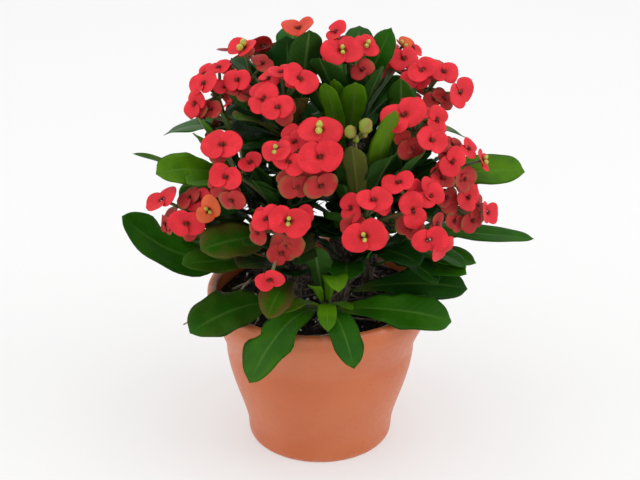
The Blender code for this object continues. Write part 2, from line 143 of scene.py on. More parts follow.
# Each head: stem, share of the stem's height, the middle of its face (azimuth, radius, height),
# where the face looks (azimuth, lift), and its flowers, each at a clock angle round the face and
# a reach from its middle, a depth behind the face, the clock angle of its pair of bracts, its
# width across the pair, and its stage.
# The old, faded flowers sit mostly low and behind in a head; their darker red is partly painted
# shade
HEADS = [
    ("left", 1.00, (-68, 66, 224), (-30, 35),
     [(-20, 2, 0, 75, 18, "fresh"), (-160, 10, 2, 20, 15, "fresh"), (15, 13, 3, 60, 14, "fresh")]),
    ("centre_left", 1.00, (-62, 47, 236), (-25, 45),
     [(-10, 9, 0, 100, 20, "budding"), (175, 9, 1, 80, 17, "fresh")]),
    ("centre_left", 0.94, (-23, 52, 232), (-8, 45),
     [(-5, 10, 3, 70, 15, "fresh"), (60, 11, 0, 110, 19, "fresh"), (-125, 10, 2, 30, 18, "fresh"),
      (180, 11, 0, 80, 17, "fresh")]),
    ("front_left", 1.00, (-38, 79, 192), (-25, 30),
     [(-20, 14, 0, 80, 24, "fresh"), (166, 3, 1, 95, 19, "fresh"), (158, 15, 3, 80, 15, "dull")]),
    ("left", 0.90, (-59, 87, 162), (-35, 30),
     [(-78, 14, 1, 40, 19, "fresh"), (-127, 15, 7, 70, 13, "dull"), (127, 9, 0, 85, 20, "fresh"),
      (76, 17, 3, 20, 17, "young")]),
    ("front_left", 0.93, (-8, 73, 204), (-3, 35),
     [(-76, 12, 0, 100, 18, "open"), (-20, 9, 4, 60, 16, "fresh"), (33, 17, 1, 90, 23, "budding"),
      (-116, 6, -1, 120, 17, "fresh"), (89, 10, 0, 80, 22, "fresh"), (-173, 14, 7, 90, 18, "dull"),
      (141, 17, 7, 75, 18, "dull")]),
    ("front_left", 0.82, (-14, 86, 168), (-8, 25),
     [(-50, 9, 1, 70, 18, "fresh"), (40, 7, 0, 100, 22, "open"), (155, 8, 7, 80, 20, "dull"),
      (-172, 25, 2, 60, 17, "fresh")]),
    ("centre_left", 0.97, (-55, 14, 249), (-10, 60),
     [(-10, 2, 0, 90, 19, "late")]),
    ("centre_right", 1.00, (33, 29, 246), (5, 50),
     [(-35, 12, 1, 30, 14, "fresh"), (-118, 5, 0, 85, 23, "open"), (75, 9, 3, 120, 14, "open")]),
    ("centre_right", 0.93, (96, 45, 234), (30, 50),
     [(30, 5, 2, 60, 13, "young"), (-160, 5, 0, 95, 18, "fresh")]),
    ("right", 1.00, (74, 67, 226), (30, 40),
     [(-53, 12, 0, 80, 18, "fresh"), (40, 6, 2, 110, 18, "fresh"), (138, 12, 0, 70, 21, "fresh")]),
    ("front_right", 1.00, (46, 72, 213), (15, 35),
     [(-57, 10, 0, 85, 23, "fresh"), (79, 10, 3, 20, 16, "fresh"), (155, 10, 0, 110, 19, "fresh"),
      (-156, 12, 7, 80, 16, "dull")]),
    ("right", 0.93, (59, 87, 189), (40, 30),
     [(-65, 6, 1, 60, 18, "fresh"), (-110, 11, 7, 100, 16, "dull"), (55, 11, 2, 50, 15, "fresh"),
      (97, 17, 3, 120, 15, "open"), (153, 9, 7, 80, 16, "dull")]),
    ("front_right", 0.92, (17, 86, 175), (8, 25),
     [(14, 9, 0, 90, 19, "fresh"), (-159, 10, 0, 80, 24, "open")]),
    ("front_right", 0.86, (36, 89, 174), (15, 25),
     [(-34, 19, 1, 80, 18, "fresh"), (41, 9, 3, 60, 16, "fresh"), (-84, 5, 0, 170, 20, "fresh"),
      (174, 15, 0, 90, 20, "fresh"), (154, 22, 4, 60, 16, "fresh")]),
    ("right", 0.86, (64, 90, 162), (40, 20),
     [(-54, 14, 5, 80, 14, "dull"), (-1, 5, 1, 60, 17, "fresh"), (122, 12, 0, 110, 18, "fresh"),
      (173, 8, 2, 70, 17, "dull")]),
    ("back_left", 1.00, (-140, 66, 218), (-150, 45),
     [(-60, 11, 1, 60, 20, "fresh"), (50, 10, 0, 100, 22, "open"), (175, 10, 1, 85, 20, "fresh")]),
    ("back_left", 0.90, (-152, 90, 185), (-160, 30),
     [(-80, 10, 0, 80, 22, "fresh"), (40, 12, 1, 50, 20, "fresh"), (160, 12, 2, 110, 19, "dull")]),
    ("back_right", 1.00, (146, 66, 218), (155, 45),
     [(-45, 10, 0, 70, 22, "open"), (70, 11, 1, 120, 20, "fresh"), (-170, 11, 1, 90, 20, "dull")]),
    ("back_right", 0.90, (152, 91, 183), (160, 30),
     [(-20, 11, 1, 95, 20, "fresh"), (95, 12, 0, 60, 22, "open"), (-150, 11, 2, 80, 20, "dull")]),
    ("left", 0.82, (-125, 72, 191), (-125, 35),
     [(-30, 9, 0, 80, 21, "fresh"), (120, 10, 1, 60, 20, "dull")]),
    ("right", 0.80, (125, 74, 191), (125, 35),
     [(30, 9, 0, 100, 21, "fresh"), (-130, 10, 1, 70, 20, "fresh")]),
]
HEAD_SEED = 500
SPARE_FLOWERS = 4
# The flowers that are placed freely: ranges of their reach, depth and width
SPARE_REACH = (8, 13)
SPARE_DEPTH = (5, 8)
SPARE_WIDTH = (13, 17)
FACE_PLAY = 7              # how far a flower's face strays from the dome's
# The round buds of a cyme that opens late, each its place and its size, and where its stalk forks
LATE_BUDS = [((13, 68, 215), 7.6), ((19, 70, 218), 9.0), ((16, 66, 210), 4.2), ((20, 66, 212), 3.4)]
LATE_FORK = (17, 60, 206)
LATE_STALK_RADIUS = 1.2
LATE_TWIG_RADII = (0.8, 0.7, 0.9)
LATE_BUD_PARTING = 0.5     # half the distance between the two halves of a round bud
# The outline of a small bud, as shares of its length: how far up and how wide
BUD_OUTLINE = ((0, 0.14), (0.15, 0.3), (0.45, 0.42), (0.75, 0.3), (0.93, 0.14), (1, 0.03))
# The outline of a flower's cup: height and radius
CUP_OUTLINE = ((-1.4, 0.5), (-0.5, 0.65), (0.5, 0.7), (1.2, 0.7), (1.35, 0.55), (0.9, 0.35),
               (0.7, 0.1))
GLANDS = 5
# The length of the two buds beside a flower's cup, at the stages that have them
SIDE_BUDS = {"open": 3.0, "budding": 4.6, "young": 2.8}
# Each stage of a flower: how far it darkens towards the old bracts' colour, how orange, how many
# degrees its bracts tilt inwards
STAGES = {
    "fresh": (0.0, 0.0, 4),
    "open": (0.05, 0.0, 0),
    "budding": (0.05, 0.0, 0),
    "late": (0.1, 0.4, 26),
    # The stage of old, faded bracts: green rims of their own, and a darker red that is partly their
    # fading and partly painted shade
    "dull": (0.75, 0.0, -6),
    "young": (0.1, 0.85, 30),
}

# Each leaf: stem, share of the stem's height, tip (azimuth, radius, height), width, how far the
# middle of the blade is lifted above the straight line, its roll, how young and how red it is.
LEAVES = [
    ("centre_left", 0.90, (-13, 25, 254), 20, 2, 0, 0.15, 0.0),
    ("centre_right", 0.80, (3, 51, 235), 12, 0, 0, 0.75, 0.0),
    ("centre_right", 0.86, (22, 48, 233), 15, 0, 0, 0.85, 0.0),
    ("centre_right", 0.98, (46, 44, 237), 15, 0, 10, 0.05, 0.0),
    ("right", 0.97, (54, 52, 230), 17, 0, 0, 0.35, 0.0),
    ("front_right", 0.78, (59, 68, 190), 18, 3, 0, 0.05, 0.0),
    ("right", 0.88, (77, 112, 176), 22, 6, 30, 0.85, 0.0),
    ("right", 0.58, (83, 119, 131), 14, 1, 15, 0.45, 0.0),
    ("centre_left", 0.84, (-53, 50, 222), 22, 4, 0, 0.0, 0.0),
    ("centre_left", 0.78, (-39, 68, 217), 17, 6, -10, 0.2, 0.3),
    ("left", 0.94, (-68, 93, 179), 21, 4, -35, 0.95, 0.0),
    ("left", 0.86, (-98, 106, 170), 9, 1, 50, 0.4, 0.0),
    ("left", 0.40, (-80, 110, 146), 33, -16, -30, 0.45, 0.0),
    ("front_left", 0.66, (-43, 90, 149), 24, 4, -35, 0.45, 0.4),
    ("front_left", 0.12, (-48, 93, 98), 28, 6, -25, 0.3, 0.1),
    ("basal", 0.80, (-25, 88, 78), 30, 12, 0, 0.55, 0.0),
    ("basal", 0.95, (11, 92, 93), 18, 8, 0, 0.3, 0.0),
    ("basal", 0.60, (58, 84, 95), 27, 4, 25, 0.5, 0.0),
    ("front_right", 0.22, (73, 85, 105), 22, 4, 30, 0.15, 0.0),
    ("right", 0.42, (70, 85, 121), 18, 6, 0, 0.3, 0.0),
    ("front_right", 0.36, (31, 69, 154), 24, 2, 35, 0.1, 0.0),
    ("basal", 1.00, (-3, 62, 149), 17, 2, 0, 0.1, 0.0),
    ("back_left", 0.82, (-120, 105, 167), 24, 10, 0, 0.25, 0.0),
    ("back_right", 0.82, (125, 105, 162), 24, 10, 0, 0.35, 0.1),
    ("back_left", 0.60, (-160, 98, 137), 26, 12, 0, 0.2, 0.0),
    ("back_right", 0.60, (160, 98, 142), 26, 12, 0, 0.1, 0.2),
    ("back_right", 0.96, (180, 80, 212), 22, 8, 0, 0.5, 0.0),
]
# The smaller leaves of each stem, whose rows leave out the stem
MORE_LEAVES = {
    "front_left": [
        (0.45, (-52, 92, 136), 20, 2, -20, 0.45, 0.1),
        (0.50, (-28, 82, 155), 14, 3, -10, 0.2, 0.1), (0.30, (-17, 92, 121), 18, 6, -20, 0.6, 0.6),
        (0.90, (-5, 58, 169), 18, 3, 0, 0.1, 0.0), (0.80, (-33, 62, 181), 20, 3, -10, 0.05, 0.0),
        (0.70, (-8, 66, 147), 20, 5, 0, 0.05, 0.3), (0.86, (-38, 63, 194), 24, 4, -10, 0.05, 0.0),
        (0.95, (-2, 52, 172), 26, 1, 0, 0.05, 0.0), (0.85, (-52, 60, 180), 24, 1, 0, 0.05, 0.0),
        (0.88, (-34, 54, 183), 24, 3, 0, 0.1, 0.0), (0.74, (-25, 66, 167), 24, 3, 0, 0.05, 0.0),
        (0.90, (-33, 65, 184), 22, 3, 0, 0.1, 0.0), (0.60, (-7, 81, 148), 20, 3, 0, 0.1, 0.1),
        (0.40, (-31, 81, 141), 20, 3, -10, 0.1, 0.3)],
    "front_right": [
        (0.98, (31, 72, 224), 15, 2, 0, 0.95, 0.1), (1.00, (13, 71, 208), 14, 2, 0, 0.4, 0.4),
        (0.62, (37, 86, 142), 20, 5, 10, 0.1, 0.0), (0.90, (14, 52, 179), 18, 3, 0, 0.0, 0.0),
        (0.70, (22, 66, 157), 18, 5, 0, 0.05, 0.0), (0.84, (52, 66, 175), 20, 4, 0, 0.05, 0.0),
        (0.50, (12, 66, 131), 22, 5, 0, 0.25, 0.0), (1.00, (54, 76, 188), 24, 2, 10, 0.1, 0.0),
        (0.90, (44, 62, 176), 24, 1, 0, 0.05, 0.0), (0.92, (15, 52, 194), 22, 3, 0, 0.05, 0.0),
        (0.72, (12, 61, 167), 24, 3, 0, 0.05, 0.0), (0.95, (33, 68, 198), 22, 3, 0, 0.05, 0.0),
        (0.80, (43, 78, 200), 20, 3, 0, 0.1, 0.0), (0.56, (33, 76, 152), 24, 3, 10, 0.1, 0.0)],
    "left": [
        (1.00, (-72, 65, 204), 14, 2, 0, 0.3, 0.0), (0.98, (-75, 56, 208), 15, 2, 0, 0.8, 0.1),
        (0.90, (-61, 80, 175), 17, 2, -10, 0.9, 0.0), (0.66, (-66, 78, 155), 20, 5, -10, 0.1, 0.1),
        (0.25, (-92, 88, 123), 20, 6, 0, 0.3, 0.0), (0.70, (-112, 96, 153), 21, 8, 0, 0.4, 0.0),
        (0.60, (-58, 70, 156), 24, 3, -15, 0.3, 0.25), (0.97, (-66, 70, 208), 14, 1, 0, 0.6, 0.0),
        (0.92, (-60, 68, 190), 22, 1, -10, 0.15, 0.0),
        (0.55, (-64, 76, 150), 22, 2, -20, 0.35, 0.2),
        (0.80, (-66, 82, 164), 22, 0, -20, 0.6, 0.0), (0.99, (-65, 73, 200), 16, 0, 0, 0.5, 0.0),
        (0.80, (-48, 75, 162), 22, 3, -10, 0.1, 0.0), (0.96, (-72, 58, 190), 22, 4, -10, 0.1, 0.0)],
    "right": [
        (0.70, (62, 78, 157), 20, 4, 10, 0.1, 0.0), (0.62, (76, 88, 145), 18, 5, 10, 0.3, 0.8),
        (0.30, (60, 74, 115), 18, 8, 0, 0.15, 0.0), (0.74, (104, 98, 155), 21, 8, 0, 0.3, 0.0),
        (0.34, (98, 92, 119), 20, 9, 0, 0.2, 0.0), (0.42, (74, 89, 121), 18, 2, 10, 0.6, 0.0),
        (0.40, (68, 86, 118), 20, 1, 10, 0.5, 0.0), (1.00, (57, 75, 190), 24, 2, 10, 0.1, 0.0),
        (0.84, (58, 75, 172), 22, 3, 10, 0.05, 0.0), (0.78, (49, 77, 162), 22, 3, 10, 0.05, 0.0),
        (1.00, (66, 60, 212), 20, 3, 10, 0.1, 0.0), (0.96, (84, 66, 196), 22, 4, 10, 0.1, 0.0)],
    "centre_left": [
        (0.96, (-90, 18, 243), 20, 2, 0, 0.1, 0.0), (0.92, (-13, 46, 225), 13, 3, 0, 0.5, 0.8),
        (0.97, (-160, 44, 237), 18, 4, 0, 0.3, 0.0), (0.90, (-175, 56, 223), 20, 4, 0, 0.1, 0.0),
        (0.60, (-25, 45, 180), 26, 2, 0, 0.05, 0.0), (0.50, (-58, 50, 166), 26, 2, 0, 0.05, 0.0),
        (0.72, (-85, 50, 194), 26, 2, 20, 0.05, 0.0), (0.40, (-20, 54, 152), 26, 2, 0, 0.05, 0.0),
        (0.80, (-65, 52, 198), 24, 2, -10, 0.05, 0.0), (0.86, (-50, 56, 194), 24, 2, 0, 0.05, 0.0),
        (0.90, (-100, 40, 225), 22, 2, 50, 0.1, 0.0),
        (0.86, (-63, 55, 208), 22, 3, -10, 0.05, 0.0),
        (0.92, (-62, 42, 216), 22, 3, -10, 0.1, 0.0), (0.96, (-90, 47, 231), 20, 3, 0, 0.1, 0.0)],
    "centre_right": [
        (0.90, (10, 43, 234), 10, 0, 0, 0.8, 0.0), (1.00, (78, 38, 250), 14, 2, 60, 0.3, 0.0),
        (0.92, (40, 32, 237), 16, 0, 0, 0.05, 0.0), (0.97, (150, 44, 237), 18, 4, 0, 0.2, 0.0),
        (0.60, (20, 45, 185), 26, 2, 0, 0.05, 0.0), (0.50, (52, 50, 170), 26, 2, 0, 0.05, 0.0),
        (0.72, (75, 50, 200), 26, 2, -20, 0.05, 0.0), (0.40, (15, 52, 150), 26, 2, 0, 0.05, 0.0),
        (0.95, (0, 33, 242), 24, 2, 0, 0.1, 0.0), (0.80, (-8, 32, 231), 20, 2, 0, 0.1, 0.0),
        (0.90, (100, 42, 222), 22, 2, -50, 0.1, 0.0)],
    "back_left": [
        (0.40, (-130, 92, 119), 22, 10, 0, 0.2, 0.0), (0.92, (-165, 78, 197), 20, 6, 0, 0.6, 0.0),
        (0.30, (-172, 86, 109), 20, 9, 0, 0.15, 0.0), (0.95, (-142, 80, 200), 18, 6, 0, 0.7, 0.0),
        (0.74, (-140, 98, 155), 22, 8, 0, 0.35, 0.2),
        (0.70, (-105, 44, 176), 26, 2, 30, 0.05, 0.0),
        (0.88, (-165, 34, 208), 26, 2, 0, 0.05, 0.0), (0.60, (-150, 36, 160), 26, 2, 0, 0.05, 0.0),
        (1.00, (-150, 52, 222), 24, 2, 0, 0.1, 0.0), (0.94, (-110, 50, 214), 24, 2, 40, 0.1, 0.0),
        (0.80, (-125, 55, 192), 24, 2, 30, 0.05, 0.0)],
    "back_right": [
        (0.40, (138, 92, 121), 22, 10, 0, 0.3, 0.0), (0.92, (140, 78, 200), 19, 6, 0, 0.7, 0.0),
        (0.34, (172, 86, 111), 20, 9, 0, 0.2, 0.0), (0.80, (176, 92, 169), 22, 8, 0, 0.4, 0.0),
        (0.72, (142, 96, 155), 22, 8, 0, 0.3, 0.0), (0.70, (105, 46, 176), 26, 2, -30, 0.05, 0.0),
        (0.88, (165, 34, 208), 26, 2, 0, 0.05, 0.0), (0.60, (150, 36, 160), 26, 2, 0, 0.05, 0.0),
        (1.00, (150, 52, 222), 24, 2, 0, 0.1, 0.0), (0.94, (110, 52, 214), 24, 2, -40, 0.1, 0.0),
        (0.80, (122, 56, 192), 24, 2, -30, 0.05, 0.0)],
    "basal": [
        (0.92, (3, 80, 109), 11, 7, 0, 0.95, 0.0), (0.90, (-15, 76, 116), 12, 4, 0, 0.85, 0.2),
        (1.00, (-4, 69, 129), 8, 3, 0, 0.95, 0.0), (1.00, (8, 70, 127), 14, 12, 0, 1.0, 0.0),
        (1.00, (14, 70, 115), 7, 2, 0, 0.95, 0.0)],
}
INNER_LEAVES = {"centre_left": 12, "centre_right": 12, "front_left": 7, "front_right": 7, "left": 6,
                "right": 6, "back_left": 8, "back_right": 8}
INNER_TURN = 137.5         # degrees round the stem from one inner leaf to the next
LEAF_SEED = 100
INNER_SEED = 60
SMALL_SEED = 300
SMALL_SEED_STEP = 40       # from one stem's seeds to the next
LEAF_WIDEST = 0.73
LEAF_ROUNDNESS = 0.44
PETIOLE_WIDTH = 2.4
LEAF_FOLD = 0.14
LEAF_RINGS = 24
LEAF_TIP = 1.3             # the small point beyond the blade's rounded end
# A notch in a large leaf's edge: the side, the share of its length and the depth
NOTCHES = {13: (1, 0.74, 0.36), 16: (1, 0.7, 0.42), 18: (-1, 0.52, 0.22)}
NOTCH_WIDTH = 0.065
# The steps across a leaf and out along a bract
ACROSS = (-1, -0.76, -0.47, -0.2, -0.07, 0, 0.07, 0.2, 0.47, 0.76, 1)
RADIAL = (0.1, 0.34, 0.6, 0.82, 0.95, 1)
# A bract is a disc of this radius set this far from the flower's middle, as shares of its reach
BRACT_ROUND = 0.68
BRACT_OFFSET = 0.32
BRACT_SPREAD = radians(125)
BRACT_RINGS = 20

# Stage, in metres: each lamp's place, size and power
LAMPS = {
    "key": ((1.1, -0.35, 0.85), 0.9, 4.0),
    "fill": ((-1.1, -0.3, 0.75), 1.0, 3.0),
    "top": ((0, -0.2, 1.5), 1.2, 4.0),
    "back": ((0.1, 1.3, 1.0), 1.4, 2.0),
}
LAMP_AIM = Vector((0, 0, 0.13))
FLOOR_RADIUS = 8
FLOOR_GLOW = 0.42
SKY_STRENGTH = 0.8
SENSOR_WIDTH = 36

BLACK = (0, 0, 0, 1)
WHITE = (1, 1, 1, 1)


# ------------------------------------------------------------------ settings

def colour_setting(name, description, default):
    return bpy.props.FloatVectorProperty(
        name=name, description=description, default=default, size=3, subtype="COLOR", min=0, max=1)


def length_setting(name, description, default):
    return bpy.props.FloatProperty(
        name=name, description=description, default=default, min=0, unit="LENGTH", precision=4)


class PotSettings(bpy.types.PropertyGroup):
    clay: colour_setting("Clay", "Main colour of the pot", (0.54, 0.122, 0.032))
    pale: colour_setting("Pale clay", "Colour of its lighter clouds", (0.58, 0.148, 0.046))
    line_depth: length_setting("Line depth", "Depth of the fine lines round the wall", 0.00003)


class SoilSettings(bpy.types.PropertyGroup):
    peat: colour_setting("Peat", "Colour of the wet mix", (0.008, 0.006, 0.007))
    fibre: colour_setting("Fibre", "Colour of the dry crumbs", (0.07, 0.04, 0.025))
    crumbs: bpy.props.IntProperty(name="Crumbs", description="How many loose crumbs lie on top",
                                  default=900, min=0)
    grains: bpy.props.IntProperty(name="Grains", description="How many white grains lie on top",
                                  default=70, min=0)


class StemSettings(bpy.types.PropertyGroup):
    bark: colour_setting("Bark", "Colour of the bark's ridges", (0.16, 0.125, 0.095))
    cleft: colour_setting("Cleft", "Colour of the bark's clefts", (0.045, 0.032, 0.024))
    spine: colour_setting("Spine", "Colour of the spines", (0.13, 0.095, 0.08))
    spine_length: length_setting("Spine length", "Length of the longest spines", 0.011)
    spines: bpy.props.IntProperty(name="Spines", description="Spines on each tall stem",
                                  default=64, min=0)


class LeafSettings(bpy.types.PropertyGroup):
    mature: colour_setting("Mature", "Upper side of an old leaf", (0.010, 0.046, 0.007))
    grown: colour_setting("Grown", "Upper side of a grown leaf", (0.022, 0.118, 0.002))
    young: colour_setting("Young", "Upper side of a young leaf", (0.085, 0.215, 0.002))
    under: colour_setting("Underside", "Underside of the leaves", (0.024, 0.078, 0.009))
    flush: colour_setting("Flush", "Red flush on ageing leaves", (0.19, 0.045, 0.03))
    thickness: length_setting("Thickness", "Thickness of a blade beside its midrib", 0.0008)


class FlowerSettings(bpy.types.PropertyGroup):
    fresh: colour_setting("Fresh", "Bract in full colour", (0.82, 0.024, 0.040))
    # The old bracts' darker red: partly their own fading, partly painted shade
    dull: colour_setting("Dull", "Bract that fades", (0.42, 0.028, 0.024))
    young: colour_setting("Young", "Bract that opens", (0.84, 0.17, 0.045))
    back: colour_setting("Back", "Back of the bracts", (0.60, 0.035, 0.035))
    rim: colour_setting("Rim", "Green that creeps in from a dull bract's rim", (0.10, 0.13, 0.03))
    stalk: colour_setting("Stalk", "Flower stalks", (0.10, 0.14, 0.035))
    cup: colour_setting("Cup", "Small cups in the flowers' middles", (0.16, 0.015, 0.014))
    late: colour_setting("Late buds", "The round buds that open last", (0.19, 0.27, 0.015))
    nectar: colour_setting("Nectar", "Glands and buds", (0.52, 0.50, 0.07))
    thickness: length_setting("Thickness", "Thickness of a bract", 0.0005)


class StageSettings(bpy.types.PropertyGroup):
    floor: colour_setting("Floor", "Colour of the floor", (0.5, 0.5, 0.5))
    distance: length_setting("Distance", "How far in front of the pot the camera stands", 0.770)
    height: length_setting("Height", "How high the camera stands", 0.491)
    pitch: bpy.props.FloatProperty(name="Pitch", description="How far down the camera looks",
                                   default=radians(25.53), subtype="ANGLE")
    lens: bpy.props.FloatProperty(name="Lens", description="Focal length in millimetres",
                                  default=84.375, min=1)


SETTINGS = {"euphorbia_pot": PotSettings, "euphorbia_soil": SoilSettings,
            "euphorbia_stems": StemSettings, "euphorbia_leaves": LeafSettings,
            "euphorbia_flowers": FlowerSettings, "euphorbia_stage": StageSettings}


# ------------------------------------------------------------------ materials

def add(tree, kind, values=None, **settings):
    """A node with its settings made and its sockets filled or linked."""
    made = tree.nodes.new(kind)
    for key, value in settings.items():
        setattr(made, key, value)
    for key, value in (values or {}).items():
        socket = made.inputs[key]
        if isinstance(value, bpy.types.NodeSocket):
            tree.links.new(value, socket)
        else:
            socket.default_value = value
    return made


def math(tree, operation, first, second=0.0):
    return add(tree, "ShaderNodeMath", {0: first, 1: second}, operation=operation).outputs[0]


def times(tree, first, second):
    return math(tree, "MULTIPLY", first, second)


def ramp(tree, value, low, high, bottom=0.0, top=1.0):
    """The value moved from the span low..high to bottom..top, smoothly and within its ends."""
    fields = {"Value": value, "From Min": low, "From Max": high, "To Min": bottom, "To Max": top}
    return add(tree, "ShaderNodeMapRange", fields, interpolation_type="SMOOTHSTEP").outputs[0]


def blend_colours(tree, share, first, second, blend="MIX"):
    fields = {0: share, 6: first, 7: second}
    return add(tree, "ShaderNodeMix", fields, data_type="RGBA", blend_type=blend).outputs[2]


def new_group(name, inputs, outputs):
    """A shader node group with its named sockets, and its two ends."""
    group = bpy.data.node_groups.new(name, "ShaderNodeTree")
    for label, kind, default in inputs:
        socket = group.interface.new_socket(label, in_out="INPUT", socket_type=kind)
        socket.default_value = default
    for label, kind in outputs:
        group.interface.new_socket(label, in_out="OUTPUT", socket_type=kind)
    return group, group.nodes.new("NodeGroupInput"), group.nodes.new("NodeGroupOutput")


def clouds_group():
    """Soft clouds of a second colour over the first."""
    group, given, out = new_group(
        "clouds",
        [("Vector", "NodeSocketVector", (0, 0, 0)), ("Scale", "NodeSocketFloat", 60),
         ("Low", "NodeSocketFloat", 0.4), ("High", "NodeSocketFloat", 0.65),
         ("First", "NodeSocketColor", BLACK), ("Second", "NodeSocketColor", WHITE)],
        [("Colour", "NodeSocketColor"), ("Mask", "NodeSocketFloat")])
    cloud = add(group, "ShaderNodeTexNoise",
                {"Vector": given.outputs["Vector"], "Scale": given.outputs["Scale"], "Detail": 4})
    mask = ramp(group, cloud.outputs[0], given.outputs["Low"], given.outputs["High"])
    colour = blend_colours(group, mask, given.outputs["First"], given.outputs["Second"])
    group.links.new(colour, out.inputs["Colour"])
    group.links.new(mask, out.inputs["Mask"])
    return group


def veins_group():
    """Fine lines that run out from a middle line, as veins do in a leaf or a bract."""
    group, given, out = new_group(
        "veins",
        [("Along", "NodeSocketFloat", 0), ("Across", "NodeSocketFloat", 0),
         ("Count", "NodeSocketFloat", 12), ("Slant", "NodeSocketFloat", 0.2),
         ("Waver", "NodeSocketFloat", 0), ("Width", "NodeSocketFloat", 0.2)],
        [("Mask", "NodeSocketFloat")])
    slanted = times(group, given.outputs["Across"], given.outputs["Slant"])
    place = math(group, "SUBTRACT", given.outputs["Along"], slanted)
    place = math(group, "ADD", place, given.outputs["Waver"])
    sawtooth = math(group, "PINGPONG", times(group, place, given.outputs["Count"]), 0.5)
    group.links.new(ramp(group, sawtooth, 0.0, given.outputs["Width"], 1.0, 0.0), out.inputs[0])
    return group


def grain_group():
    """A height that mixes a coarse and a fine grain."""
    group, given, out = new_group(
        "grain",
        [("Vector", "NodeSocketVector", (0, 0, 0)), ("Coarse", "NodeSocketFloat", 200),
         ("Fine", "NodeSocketFloat", 1200)],
        [("Height", "NodeSocketFloat")])
    coarse, fine = [
        add(group, "ShaderNodeTexNoise", {"Vector": given.outputs["Vector"],
                                          "Scale": given.outputs[size], "Detail": 3}).outputs[0]
        for size in ("Coarse", "Fine")]
    mixed = add(group, "ShaderNodeMix", {0: 0.4, 2: coarse, 3: fine})
    group.links.new(mixed.outputs[0], out.inputs[0])
    return group


def place_group(tree, maker, values):
    """The outputs of the group that the maker builds, which is built once and placed anew."""
    name = maker.__name__.removesuffix("_group")
    group = bpy.data.node_groups.get(name) or maker()
    return add(tree, "ShaderNodeGroup", values, node_tree=group).outputs


def add_clouds(tree, place, scale, first, second, low=0.4, high=0.65):
    """The clouded colour and the mask of its clouds."""
    return place_group(tree, clouds_group, {
        "Vector": place, "Scale": scale, "Low": low, "High": high, "First": first,
        "Second": second})


def add_veins(tree, along, across, count, slant, width, waver=0.0):
    return place_group(tree, veins_group, {
        "Along": along, "Across": across, "Count": count, "Slant": slant, "Waver": waver,
        "Width": width})[0]


def add_grain(tree, place, coarse, fine=1200):
    return place_group(tree, grain_group, {"Vector": place, "Coarse": coarse, "Fine": fine})[0]


def new_finish(name, roughness, coat=0.0, specular=0.5):
    """A material, its tree and its shader, with the values that are the same all over it."""
    material = bpy.data.materials.new(name)
    material.use_nodes = True
    tree = material.node_tree
    shader = tree.nodes["Principled BSDF"]
    shader.inputs["Roughness"].default_value = roughness
    shader.inputs["Coat Weight"].default_value = coat
    shader.inputs["Specular IOR Level"].default_value = specular
    return material, tree, shader


def add_bump(tree, shader, height, distance, strength=1.0):
    fields = {"Height": height, "Distance": distance, "Strength": strength}
    bump = add(tree, "ShaderNodeBump", fields)
    tree.links.new(bump.outputs[0], shader.inputs["Normal"])


def object_place(tree):
    return add(tree, "ShaderNodeTexCoord").outputs["Object"]


def chart_place(tree):
    """The two directions of the piece's chart."""
    chart = add(tree, "ShaderNodeUVMap", uv_map=CHART)
    parts = add(tree, "ShaderNodeSeparateXYZ", {0: chart.outputs[0]})
    return parts.outputs[0], parts.outputs[1]


def mark(tree, name):
    return add(tree, "ShaderNodeAttribute", attribute_name=name).outputs["Fac"]


def leaf_places(tree):
    """How far along a leaf, how far out from its midrib, and the place in space."""
    along, level = chart_place(tree)
    across = times(tree, math(tree, "ABSOLUTE", math(tree, "SUBTRACT", level, 0.5)), 2)
    return along, across, object_place(tree)


def paint(colour):
    return (*colour, 1)


def pot_finish(pot):
    material, tree, shader = new_finish("satin_terracotta", 0.42, 0.06)
    place = object_place(tree)
    broad, _ = add_clouds(tree, place, 22, paint(pot.clay), paint(pot.pale), low=0.35, high=0.7)
    dusky = paint([0.93 * part for part in pot.clay])
    specks, _ = add_clouds(tree, place, 420, broad, dusky, low=0.6, high=0.75)
    height = add(tree, "ShaderNodeSeparateXYZ", {0: place}).outputs[2]
    _, scuff = add_clouds(tree, place, 160, BLACK, WHITE, low=0.5, high=0.62)
    rim_band = ramp(tree, height, *RIM_WEAR, 0, 0.35)
    foot_band = ramp(tree, height, 0.0, FOOT_WEAR, 0.3, 0)
    worn = times(tree, math(tree, "ADD", rim_band, foot_band), scuff)
    chalk = paint([min(1, 0.55 * part + 0.3) for part in pot.pale])
    tree.links.new(blend_colours(tree, worn, specks, chalk), shader.inputs["Base Color"])
    grain = add_grain(tree, place, coarse=300, fine=1900)
    lines = times(tree, math(tree, "SINE", times(tree, height, LINE_RATE)), 0.25)
    add_bump(tree, shader, math(tree, "ADD", grain, lines), pot.line_depth, 0.7)
    tree.links.new(ramp(tree, grain, 0.35, 0.65, 0.36, 0.5), shader.inputs["Roughness"])
    return material


def soil_finish(soil, name="potting_mix", lift=0.0):
    """Dark and light crumbs; the lift makes the light ones more."""
    material, tree, shader = new_finish(name, 0.95, 0.0, 0.25)
    place = object_place(tree)
    crumb, _ = add_clouds(tree, place, 260, paint(soil.peat), paint(soil.fibre),
                          low=0.5 - lift, high=0.72 - lift)
    tree.links.new(crumb, shader.inputs["Base Color"])
    add_bump(tree, shader, add_grain(tree, place, coarse=500, fine=1500), 0.0012, 0.9)
    return material


def plain_finish(name, first, second, scale, roughness, depth):
    """A matt finish of two clouded colours with a fine grain."""
    material, tree, shader = new_finish(name, roughness)
    place = object_place(tree)
    cloud, _ = add_clouds(tree, place, scale, paint(first), paint(second))
    tree.links.new(cloud, shader.inputs["Base Color"])
    add_bump(tree, shader, add_grain(tree, place, coarse=scale * 3), depth, 0.8)
    return material


